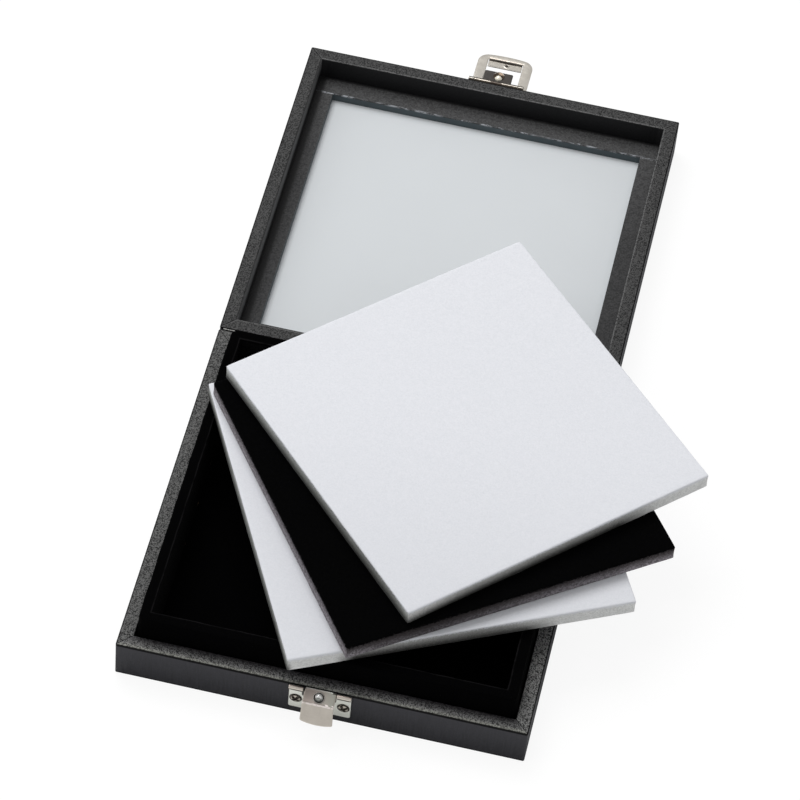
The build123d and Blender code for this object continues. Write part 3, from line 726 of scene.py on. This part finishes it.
def screw_grid(turn):
    """Cross-recessed screw and its chart: shank, then a low dome h = 0.7 - r^2 / 7.4. The
    recess is cut where the smaller of the distances to the cross's two axes is under its half
    width, and the chart is measured along those axes."""
    shank = [(0, -3.85), (0.6, -3.85), (0.9, -3.2), (0.9, 0), (2.06, 0), (2.18, 0.06)]
    r = np.concatenate([np.linspace(2.14, 1.0, 12), np.linspace(0.95, 0, 20)])
    grid = turned(np.concatenate([shank, np.stack([r, 0.7 - r ** 2 / 7.4], axis=1)]), 96)
    c, s = np.cos(np.radians(turn)), np.sin(np.radians(turn))
    chart = np.stack([grid[..., 0] * c + grid[..., 1] * s,
                      grid[..., 1] * c - grid[..., 0] * s], axis=2)
    off = np.abs(chart)
    cut = (np.clip((0.4 - off.min(axis=2)) / 0.12, 0, 1)
           * np.clip((1.5 - off.max(axis=2)) / 0.15, 0, 1))
    grid[..., 2] -= np.where(grid[..., 2] > 0.1, 0.38 * cut, 0)
    return grid, chart


def stud_grid(size, lean):
    """Ball on a cupped collar, with its stem and upset tail. A stud that has been knocked
    leans: everything above the collar moves back by lean, and sinks by 0.9 lean."""
    lower = [(0, -0.95), (0.72, -0.95), (0.8, -0.87), (0.8, -0.65), (0.5, -0.65), (0.5, 0),
             (2.0, 0), (2.1, 0.08), (2.06, 0.2), (1.92, 0.25), (1.75, 0.24), (1.5, 0.14),
             (1.2, 0.1)]
    b = np.linspace(lean * 0.25 - 0.62, np.pi / 2, 26)
    ball = np.stack([size * np.cos(b), 0.9 - lean * 0.9 + size * np.sin(b)], axis=1)
    grid = turned(np.concatenate([lower, ball]))
    grid[len(lower):, :, 1] -= lean
    return grid


def nickel(name, light, dark, rough=0.3):
    """Satin nickel plate: faint brushed haze and clouds of wear. Plated closes it."""
    metal = Finish(name)
    haze = metal.noise(2.5, 3.0, 0.6)
    scratch = metal.noise(0.6, 4.0, 0.7, (0.3, 3.0, 3.0))
    metal.mark = haze * 0.6 + scratch * 0.4
    metal.colour = metal.tint(metal.mark, dark, light)
    metal.rough = rough + haze * 0.14
    # How far a painted highlight is made less metallic.
    metal.dull = 0.0
    return metal


def plated(metal):
    """Close a nickel finish with the colour it has been given, less metallic where it carries a
    painted highlight.
    """
    return metal.done(metal.rough, metal.bumped(metal.mark, 0.03),
                      metallic=(0.92 + metal.mark * 0.06) * (1 - metal.dull))


def catch_nickel():
    """Catch plate: its flat painted whiter as painted light, the shelf and the wings' rolled
    tops painted brownish dark as painted reflection, painted shade on the rolls' undersides,
    dark in the slits beside the tongue, and a painted glint in a patch along the bend."""
    metal = nickel("catch_nickel", (240, 233, 222), (206, 197, 186))
    up = metal.facing()[2]
    x, y, z = metal.axes()
    reach = CATCH_FACE - y
    drop = HEIGHT - z
    on_tongue = abs(x - (CATCH_SIDE + 0.2)).below(5.4, 0.05)
    rolled = reach.below(1.95, 0.05) * (1 - on_tongue) * drop.below(1.7, 0.05)
    slit = abs(abs(x + 0.25) - 5.2).below(0.65, 0.08) * drop.below(4.8, 0.5)
    shelf = up.above(0.88, 0.06) * reach.above(0.3, 0.2) * on_tongue
    # Painted light: the flat plate painted whiter.
    plate = reach.below(0.75, 0.05)
    metal.coat(plate * 0.85, (252, 255, 247))
    # Painted reflection: the rolls' up-facing tops and the shelf painted brownish dark. Painted
    # shade on the rolls' front-facing undersides.
    metal.coat(rolled * up.above(0.92, 0.05) * 0.7, (160, 138, 130))
    metal.coat(rolled * up.below(0.1, 0.12) * 0.85, (66, 52, 46))
    metal.coat(shelf * 0.85, metal.tint(x.above(2, 3), (154, 142, 136), (138, 139, 131)))
    metal.coat(slit * plate * 0.9, (34, 28, 24))
    # Painted glint: pinkish-white spots in a patch and a line along the tongue's bend, made
    # less metallic so the white shows.
    patch = (abs(reach - 5.0).below(0.45, 0.12) * on_tongue * x.above(-1.4, 0.6)
             * metal.noise(1.6, 3.0, 0.6).above(0.53, 0.05))
    bend = (abs(reach - 5.3).below(0.2, 0.1) * on_tongue
            * metal.noise(1.1, 3.0, 0.7).above(0.45, 0.06))
    bend_glint = 1 - (1 - patch) * (1 - bend)
    metal.coat(bend_glint, (255, 245, 241))
    metal.dull = bend_glint * 0.8
    return plated(metal)


def worn_screw(name):
    """Screw metal dark in its cross and round the edge of its head: grime together with painted
    shade.
    """
    metal = nickel(name, (214, 208, 196), (150, 142, 130))
    u, v = metal.chart()
    radius = (u * u + v * v) ** 0.5
    grime_and_shade = metal.noise(0.8, 3.0, 0.7).above(0.42, 0.16)
    arm = 0.38 + grime_and_shade * 0.2
    # Dark cross and head edge: grime together with painted shade in the recess and where the
    # head meets the plate.
    cross = (abs(u).least(abs(v)) - arm).below(0, 0.08) * radius.below(1.6, 0.12)
    ring = radius.above(1.62, 0.08)
    metal.coat(cross * (0.75 + grime_and_shade * 0.25) + ring * (0.5 + grime_and_shade * 0.5), (24, 18, 13))
    return plated(metal)


def polished_stud(name, size, lean):
    """Bright ball with painted shade, greener, where it turns away, and less metallic elsewhere
    as part of its painted highlight; its collar is painted dark in the cup as painted shade and
    dark reflection, with a painted pale reflection on its rim. On a leaning stud the ball
    carries a painted cream highlight and the rim's pale reflection stays only on the far side."""
    metal = nickel(name, (250, 250, 248), (230, 230, 228), 0.16)
    u, v = metal.chart()
    behind = v + lean
    cup = ((u * u + behind * behind) ** 0.5).above(size + 0.02, 0.05)
    # The collar's pale arc is a painted reflection of the bright surroundings; the cup inside
    # it is painted dark as painted shade and dark reflection.
    rim = abs((u * u + v * v) ** 0.5 - 1.95).below(0.13, 0.08)
    if lean:
        rim = rim * v.above(0.7, 0.3)
        # Painted cream highlight on the leaning ball.
        metal.coat(1 - cup, (255, 250, 232))
        metal.dull = (1 - cup) * 0.7
        cup_shade_colour, rim_reflection_colour = (92, 80, 68), (214, 204, 192)
    else:
        # Painted shade, greenish, on the side of the ball that turns away; the rest of the ball
        # is made less metallic to show its painted highlight.
        shaded_side = v.above(0.55, 0.12) * (1 - cup)
        metal.coat(shaded_side * 0.85, (120, 124, 118))
        metal.dull = (1 - cup) * (1 - shaded_side) * 0.5
        cup_shade_colour, rim_reflection_colour = (52, 48, 44), (160, 152, 142)
    metal.coat(cup * (1 - rim), cup_shade_colour)
    metal.coat(cup * rim * 0.8, rim_reflection_colour)
    return plated(metal)


def add_clasp_piece(name, node, body, grids, material, charts=None, closed=False):
    """Make one welded piece of the clasp and register it."""
    piece = grid_piece(name, grids, material, closed, charts)
    weld(piece, 1e-6)
    register(piece, node, body)


def add_screws(name, node, body, site):
    """Two screws in a plate's face, their crosses turned differently."""
    grids, charts = zip(*[screw_grid(turn) for turn in (38, 62)])
    add_clasp_piece(name, node, body,
                    [against(on_slope(grid, across, SHEET, 7.0, 90), *site)
                     for grid, across in zip(grids, (-8.1, 8.1))],
                    worn_screw(name + "_metal"), charts, True)


def add_stud(name, node, body, spot, site, size, lean):
    """Ball stud at a spot (across, reach, drop, slope) on a tongue."""
    grid = stud_grid(size, lean)
    add_clasp_piece(name, node, body, [against(on_slope(grid, *spot), *site)],
                    polished_stud(name + "_metal", size, lean),
                    [grid[..., :2]], True)


wings = [rolled_edge(0.85, 1.0, 0.85, 3.0, *span, 0.12)
         for span in ((-PLATE_HALF, -5.75), (5.75, PLATE_HALF))]
tongue_path = rounded_profile([(0, 2.2), (0, 0.25), (5.3, 1.9), (9.3, 7.9)], [0.3, 0.5], 9)
tongue = bent_tongue(tongue_path, 5.35, 0.75, 0.5)
for grid in tongue:
    splay = np.clip((grid[..., 1] - 5.3) / 4, 0, 1)
    grid[..., 0] = grid[..., 0] * (1 + 0.05 * splay) + 0.2 + 0.5 * splay
add_clasp_piece("catch_stamping", "catch_plate", "base",
                [against(grid, *CATCH) for grid in tongue + plate_back(2.0) + wings],
                catch_nickel())
add_stud("catch_stud", "catch_ball", "base", (0.05, 2.9, 1.15, 17.3), CATCH, 1.24, 0.0)
add_screws("catch_screw_pair", "catch_screws", "base", CATCH)


# ---------------------------------------------------------------- hasp
# The lid's stamping with its rolled fold, flat tab and knuckles, the ball stud, two short
# pins, and the loop that swings on them: broad arms, a bowed end, and a beaded flap.

HASP_SIDE = 0.2
HASP_FACE = 213.25
HASP = (HASP_SIDE, HASP_FACE, 1)
PIN = 1.3
LOOP_SLIP = 1.2
LOOP_SHEET = 0.5
LOOP_SLOPE = 4.0
FLAP_HALF = 6.4


def rolled_shade(reach):
    """How much painted shade the rolled edge takes: none along its crest, dark on both sides of
    it.
    """
    crest = abs(reach - 1.2).below(0.15, 0.06)
    return (1 - crest) * reach.above(0.1, 0.1) * reach.below(2.46, 0.08) * 0.93


def hasp_nickel():
    """Lid plate: its fold plain along the crest, with painted shade on both sides of it and
    behind the stud, and the flat tab painted dark as painted reflection."""
    metal = nickel("hasp_nickel", (226, 218, 206), (190, 182, 170))
    x, y, _ = metal.axes()
    reach = y - HASP_FACE
    # Painted reflection: the flat tab painted dark.
    metal.coat(reach.above(2.42, 0.08) * 0.96, (66, 63, 61))
    metal.coat(rolled_shade(reach), (46, 38, 30))
    # Painted shade on the fold behind the stud.
    behind = abs(x - 0.1).below(2.1, 0.4) * reach.below(2.46, 0.08)
    metal.coat(behind * 0.85, (58, 50, 45))
    return plated(metal)


tab = bent_tongue(np.array([(1.5, 1.44), (2.6, 1.44), (8.0, 1.5)]), 5.35, 0, 0.6)
roll = rolled_edge(PIN, PIN, 1.15, 3.4, -8.2, 8.2, 0.1)
add_clasp_piece("hasp_stamping", "hasp_plate", "lid",
                [against(grid, *HASP) for grid in tab + plate_back(2.8) + [roll]],
                hasp_nickel())
add_stud("hasp_stud", "hasp_ball", "lid", (0.3, 5.75, 1.46, 0.7), HASP, 1.27, 1.2)
add_screws("hasp_screw_pair", "hasp_screws", "lid", HASP)


def about_pins(corners, radii, slope, columns=40):
    """A left and a right ring: the rounded profile of (radius, across) turned about the pins'
    axis, as (across, along, up), and set in place."""
    profile = rounded_profile(corners, radii)
    return [against(on_slope(turned(part, columns)[..., [2, 0, 1]], 0, PIN, PIN, slope), *HASP)
            for part in (profile, profile * np.array([1, -1]))]


def loop_band():
    """U-shaped band of the loop, from its outer to its inner edge. The outer edge's corners
    are cubic bends between the arms and the bowed end s = 16.8 - (x / 10.4)^2; near the pins
    the inner edge steps out from 6.6 to 8.3 to clear the knuckles."""
    k = np.linspace(0, 1, 26)[:, None]
    step = np.clip((k * 13.9 - 1.4) / 0.5, 0, 1)
    inner_x = 8.3 - 1.7 * step ** 2 * (3 - 2 * step)
    arm = np.hstack([-10.4 + 0 * k, 12.2 * k, -inner_x, 13.9 * k])
    k = np.linspace(0, 1, 18)[1:, None]
    p0, p3, corner = np.array([-10.4, 12.2]), np.array([-6.8, 16.37]), np.array([-10.4, 15.92])
    p1, p2 = p0 + 0.55 * (corner - p0), p3 + 0.55 * (corner - p3)
    outer = ((1 - k) ** 3 * p0 + 3 * k * (1 - k) ** 2 * p1 + 3 * k ** 2 * (1 - k) * p2
             + k ** 3 * p3)
    a = k * np.pi / 2
    inner = np.hstack([-6.1 - 0.5 * np.cos(a), 13.9 + 0.5 * np.sin(a)])
    bend = np.hstack([outer, inner])
    k = np.linspace(-1, 0, 18)[1:, None]
    end = np.hstack([6.8 * k, 16.8 - (6.8 * k / 10.4) ** 2, 6.1 * k, 14.4 + 0 * k])
    half = np.concatenate([arm, bend, end])
    both = np.concatenate([half, half[-2::-1] * np.array([-1, 1, -1, 1])])
    share = (1 - np.cos(np.linspace(0, np.pi, 31)))[None, :, None] / 2
    flat = both[:, None, :2] * (1 - share) + both[:, None, 2:] * share
    width = np.linalg.norm(both[:, :2] - both[:, 2:], axis=1)[:, None]
    inward = np.minimum(share[..., 0], 1 - share[..., 0]) * width
    crown = 0.06 * np.sin(np.pi * share) - 0.66
    upper = np.concatenate([flat, np.broadcast_to(crown, flat.shape[:2] + (1,))], axis=2)
    return pressed_sheet(upper, inward, LOOP_SHEET, (0, 0, 1))


def loop_flap():
    """Flap as rays from its rivet eye out to its rectangular outline. The eye is sunk, with a
    ring round it, and at s = 13.9 a half-round bead of radius 0.5 stands 0.85 over the flap."""
    near, far = 10.1, 14.7
    hole = np.array([0.65, 11.8])
    a = np.linspace(0, 2 * np.pi, 241)
    c, s = np.cos(a), np.sin(a)
    to_side = np.where(c > 0, FLAP_HALF - hole[0], FLAP_HALF + hole[0])
    to_end = np.where(s > 0, far - hole[1], hole[1] - near)
    reach = np.minimum(to_side / np.maximum(np.abs(c), 1e-9),
                       to_end / np.maximum(np.abs(s), 1e-9))
    rho = 0.02 + (reach - 0.02) * np.linspace(0, 1, 80)[:, None]
    x, y = hole[0] + rho * c, hole[1] + rho * s
    ring = 0.16 * np.exp(-((rho - 0.8) / 0.2) ** 2) - 0.3 * np.exp(-(rho / 0.42) ** 4)
    bead = 0.85 * np.sqrt(np.clip(1 - ((y - 13.9) / 0.5) ** 2, 0, 1))
    upper = np.stack([x, y, -0.85 + ring + bead], axis=2)
    edge = np.minimum(np.minimum(FLAP_HALF - np.abs(x), y - near), far - y)
    return pressed_sheet(upper, np.maximum(edge, 0), LOOP_SHEET, (0, 0, 1))


def loop_nickel():
    """Loop: satin arms, a painted highlight on the bead, painted shade in the rivet eye, in the
    fold in front of the bead and along the flap's free edge, and the hasp roll's painted shade
    where the arms' ends carry on its rolled edge."""
    metal = nickel("loop_nickel", (226, 221, 212), (194, 188, 178))
    x, y, z = metal.axes()
    reach = y - HASP_FACE
    along = (reach - PIN) / 0.9976
    from_middle = x - (HASP_SIDE + LOOP_SLIP)
    on_flap = abs(from_middle).below(FLAP_HALF + 0.02, 0.04)
    fold = abs(along - 13.2).below(0.3, 0.12) * on_flap
    bead = abs(along - 13.95).below(0.3, 0.1) * on_flap
    free = abs(along - 10.3).below(0.2, 0.1) * on_flap
    eye = (((from_middle - 0.65) ** 2.0 + (along - 11.8) ** 2.0) ** 0.5).below(0.58, 0.08)
    rolled = abs(x - HASP_SIDE).above(8.22, 0.02) * z.above(14.5, 0.1)
    # Painted shade in the fold in front of the bead, in the rivet eye and on the flap's free
    # edge; the arms' ends carry the roll's painted shade.
    metal.coat(fold * 0.92 + eye * 0.9, (44, 35, 28))
    metal.coat(rolled * rolled_shade(reach), (46, 38, 30))
    metal.coat(free * 0.6, (120, 116, 112))
    # Painted highlight along the bead.
    metal.coat(bead * 0.85, (250, 236, 222))
    return plated(metal)


swinging = [against(on_slope(grid, LOOP_SLIP, PIN, PIN, LOOP_SLOPE), *HASP)
            for grid in loop_band() + loop_flap()]
ears = about_pins([(0.62, 9.3), (0.62, 8.3), (1.15, 8.3), (1.15, 10.4), (0.62, 10.4),
                   (0.62, 9.3)], [0.05, 0.12, 0.12, 0.05], LOOP_SLOPE)
add_clasp_piece("hasp_swing_loop", "hasp_loop", "loop",
                swinging + [wrapped(ear) for ear in ears], loop_nickel())
pins = about_pins([(0, 5.8), (0.55, 5.8), (0.55, 10.4), (0, 10.4)], [0.08, 0.12], 0, 24)
add_clasp_piece("hasp_pin_pair", "hasp_pins", "lid", pins,
                plated(nickel("pin_metal", (220, 214, 204), (150, 144, 134))),
                closed=True)


# ---------------------------------------------------------------- pads
# Three square slabs of open foam, each with a felted, brushed face. The faces are matt and
# faintly mottled; the cut sides show the foam's pores and crumble a little at the edges.

PAD = 119.5
PAD_THICK = 6.0
ROUND_TOP = 0.6
ROUND_FOOT = 0.15
UNEVEN = 0.05
SWELL = 0.1


def felted_slab(across, back, turn, low, seed):
    """Closed slab of nested squares with clipped corners: rings run out over the top, down
    the side and in under the bottom. Top and foot edges are rounded by quarter circles, the
    side is drawn in by a sine, and smoothed random offsets leave the cut a little uneven."""
    rng = np.random.default_rng(seed)
    t = np.linspace(-1, 1, 100, endpoint=False)
    t = np.sign(t) * (1 - (1 - np.abs(t)) ** 1.3)
    clip = 1 - 0.0022 * np.clip((np.abs(t) - 0.985) / 0.015, 0, 1)
    edges = [np.stack([clip, t * clip], axis=1)]
    while len(edges) < 4:
        edges.append(edges[-1] @ np.array([[0, 1], [-1, 0]]))
    square = np.concatenate(edges)
    half = PAD / 2 - UNEVEN
    arc = np.linspace(0, np.pi / 2, 6)
    rows = [(s * (half - ROUND_TOP), PAD_THICK) for s in np.linspace(0, 1, 40)[:-1] ** 0.8]
    rows += [(half - ROUND_TOP * (1 - np.sin(a)), PAD_THICK - ROUND_TOP * (1 - np.cos(a)))
             for a in arc]
    rows += [(half - 0.1 * np.sin(np.pi * k), PAD_THICK * (1 - k))
             for k in np.linspace(0.12, 0.9, 10)]
    rows += [(half - ROUND_FOOT * (1 - np.cos(a)), ROUND_FOOT * (1 - np.sin(a))) for a in arc]
    rows += [(s * (half - ROUND_FOOT), 0.0) for s in (0.97, 0.8, 0.5, 0.2, 0.0)]
    rows = np.array(rows)
    grid = np.empty((len(rows), len(square), 3))
    grid[..., :2] = rows[:, :1, None] * square[None]
    grid[..., 2] = rows[:, 1:]
    rough = rng.normal(size=(len(rows), len(square)))
    soft = sum(np.roll(rough, k, axis=1) for k in range(-2, 3)) / 5
    side = np.exp(-((rows[:, 0] - half) / 1.2) ** 2)[:, None]
    middle = np.tile(np.abs(t) < 0.97, 4)
    grid[..., :2] *= 1 + (soft * middle * side * UNEVEN / half)[..., None]
    x, y = grid[..., 0], grid[..., 1]
    swell = SWELL * (1 + np.sin(x * 0.061 + seed) * np.sin(y * 0.047 + 2 * seed))
    grid[..., 2] -= swell * (rows[:, 1:] > PAD_THICK - ROUND_TOP)
    angle = np.radians(turn)
    return np.stack([x * np.cos(angle) - y * np.sin(angle) + across,
                     x * np.sin(angle) + y * np.cos(angle) + back,
                     grid[..., 2] + low], axis=2)


def felted_foam(name, face, side, low, side_shade_stops, foot, crown):
    """Felted face of fine tangled fibres between two face colours, with painted shade towards
    the near edge, and porous sides between two side colours, with painted shade where they face
    left.
    Stops of (x, share) say how much painted shade the sides take along their run, and how much
    painted shadow darkens their foot where they lie on something black. With a crown the sides
    take painted shade towards the face instead."""
    foam = Finish(name)
    facing, _, up = foam.facing()
    x, y, z = foam.axes()

    def along(stops):
        ramp = [((at + 70) / 180, (share, share, share, 1.0)) for at, share in stops]
        return foam.node("ShaderNodeValToRGB", {"stops": ramp}, {0: (x + 70) / 180})

    on_top = abs(up).above(0.6, 0.3)
    leftward = facing.below(-0.35, 0.1)
    fibres = foam.noise(0.6, 3.0, 0.7)
    mottle = foam.noise(1.4, 4.0, 0.75)
    pores = foam.cells(0.5, randomness=0.8, out="Color")
    crumbs = foam.noise(0.6, 4.0, 0.8)
    felt = foam.tint((mottle * 0.4 + fibres * 0.6).above(0.5, 0.2), face[0], face[1])
    # Painted shade: the face darkens towards the near edge, into its third colour.
    felt = foam.tint(y.below(-10, 50) * 0.3, felt, face[2])
    crumb = foam.cells(9).below(0.03, 0.01) * crown * x.above(88, 6)
    felt = foam.tint(crumb, felt, (230, 230, 228))
    height = (z - low) / PAD_THICK
    foam.colour = foam.tint((pores * 0.5 + crumbs * 0.5).above(0.5, 0.28), side[0], side[1])
    # Painted shade on sides that face left.
    foam.coat(leftward * (1 - crown) * 0.5, side[3])
    # Painted shade along the sides' run, by the stops.
    foam.coat(along(side_shade_stops) * (0.42 + crown * 0.2), side[2])
    # Painted shadow at the sides' foot where they lie on something black.
    shaded = height.below(0.42 + (crumbs - 0.5) * 0.5, 0.42) * along(foot)
    foam.coat(shaded * 0.95, (24, 23, 19))
    # Painted shade on the black pad's sides, darker towards the face and lighter towards the
    # foot.
    upper = height.above(0.4 + leftward * 0.15, 0.35) * (0.86 - leftward * 0.24) * crown
    foam.coat(upper, (46, 42, 42))
    foam.coat(height.above(0.82 + (crumbs - 0.5) * 0.9, 0.1), face[0])
    foam.coat(on_top, felt)
    bump = (fibres * 0.6 + mottle * 0.6) * on_top + (pores * 0.8 + crumbs) * (1 - on_top)
    return foam.done(0.92 + fibres * 0.08, foam.bumped(bump, 0.14), 0.04)


# Of the face colours the third is the painted shade towards the near edge; of the side colours
# the third is the painted shade along the run and the fourth the painted shade where a side
# faces left.
WHITE = {
    "face": ((222, 224, 229), (232, 233, 238), (202, 204, 209)),
    "side": ((206, 207, 206), (230, 231, 230), (62, 60, 52), (150, 155, 150)),
    "crown": 0.0}
BLACK = {
    "face": ((0, 0, 0), (4, 4, 5), (0, 0, 0)),
    "side": ((100, 96, 99), (164, 159, 165), (16, 14, 14), (0, 0, 0)),
    "crown": 1.0}
# The last two columns hold stops of (x, share): painted shade along the sides, and painted
# shadow at their foot.
PADS = (
    ("lower_white_pad", "white_pad_bottom", "lower_pad", (15.1, 7.5, 26.7), 24.6, 3, WHITE,
     "white_foam",
     ((-64, 0.4), (-58, 0.7), (-50, 0.15), (-44, 0), (-28, 0), (-20, 0.5), (-11, 0.3),
      (-10, 0), (3, 0), (9, 1), (54, 1), (62, 0.5), (71, 0)),
     ((-58, 1), (-44, 0.7), (-20, 0.9), (-11, 0.9), (-10, 0), (3, 0), (9, 1), (62, 0.9),
      (72, 0))),
    ("middle_black_pad", "black_pad", "middle_pad", (20.8, 16.0, 35.5), 30.7, 5, BLACK,
     "black_foam",
     ((8, 0.1), (16, 0.8), (30, 1), (45, 0.9), (58, 0.6), (72, 0.35), (98, 0.1)),
     ((0, 0), (1, 0))),
    ("upper_white_pad", "white_pad_top", "upper_pad", (25.4, 31.8, 44.0), 36.8, 9, WHITE,
     "white_foam",
     ((-55, 0), (8, 1), (17, 0.9), (24, 0.2), (30, 0.4), (40, 1), (82, 1), (92.5, 0)),
     ((22, 0.9), (30, 1), (84, 1), (92, 0))),
)
for name, node, body, (across, back, turn), low, seed, foam, slot, side_shade_stops, foot in PADS:
    skin = felted_foam(name + "_foam", low=low, side_shade_stops=side_shade_stops, foot=foot, **foam)
    piece = grid_piece(name, felted_slab(across, back, turn, low, seed), skin, closed=True)
    weld(piece, 1e-5)
    register(piece, node, body)


# ---------------------------------------------------------------- studio
# Plain pale floor, soft lamps above, and the camera looking down on the open case.

def pale_floor():
    """White floor: lit as matt white, and mixed towards plain white where seen directly."""
    floor = Finish("pale_floor")
    grain = floor.noise(200, 2.0)
    lit = floor.node("ShaderNodeBsdfPrincipled", values={
        "Base Color": floor.tint(grain, (246, 246, 246), (250, 250, 250)),
        "Roughness": 0.9})
    plain = floor.node("ShaderNodeEmission", values={"Color": (1, 1, 1, 1), "Strength": 1.04})
    seen = floor.node("ShaderNodeLightPath", out="Is Camera Ray")
    return floor.surfaced(floor.node("ShaderNodeMixShader",
                                     values={0: seen * 0.86, 1: lit, 2: plain}))


span = np.linspace(-3000, 3000, 3)
floor_grid = np.stack([*np.meshgrid(span, span), np.full((3, 3), -0.2)], axis=2)
ground = grid_piece("ground", floor_grid, pale_floor())
ground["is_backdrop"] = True

world = bpy.data.worlds.new("studio")
bpy.context.scene.world = world
world.use_nodes = True
sky = world.node_tree.nodes["Background"]
sky.inputs["Color"].default_value = (1.0, 1.0, 1.0, 1.0)
sky.inputs["Strength"].default_value = 0.5


def stand(name, data, right, back, spot):
    """Put a lamp or a camera at a spot in metres, its right and back pointing as given."""
    holder = bpy.data.objects.new(name, data)
    bpy.context.scene.collection.objects.link(holder)
    turn = np.column_stack([right, np.cross(back, right), back, spot])
    holder.matrix_world = Matrix(turn.tolist() + [[0, 0, 0, 1]])
    return holder


def softbox(name, spot, size, power):
    """Square lamp of the given size and power, turned to face the hinge."""
    lamp = bpy.data.lights.new(name, "AREA")
    lamp.shape = "SQUARE"
    lamp.size = size
    lamp.energy = power
    back = np.array(spot) - np.array([0, 0.07, 0])
    back /= np.linalg.norm(back)
    right = np.cross((0, 0, 1), back)
    stand(name, lamp, right / np.linalg.norm(right), back, spot)


softbox("key", (-0.45, 0.62, 1.42), 0.9, 13.0)
softbox("fill", (-1.2, -0.3, 1.2), 1.2, 4.2)

azimuth, elevation, tilt = np.radians([8.086, 50.774, 5.715])
back = np.array([np.sin(azimuth) * np.cos(elevation), -np.cos(azimuth) * np.cos(elevation),
                 np.sin(elevation)])
level = np.array([np.cos(azimuth), np.sin(azimuth), 0])
right = level * np.cos(tilt) + np.cross(back, level) * np.sin(tilt)
lens = bpy.data.cameras.new("camera")
lens.sensor_width = 36.0
lens.lens = 191.33
lens.clip_start = 0.05
eye = np.array([-0.00136, 0.05622, 0.0157]) + back * 1.4825
bpy.context.scene.camera = stand("camera", lens, right, back, eye)
bpy.context.scene.view_settings.view_transform = "Standard"

low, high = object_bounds()
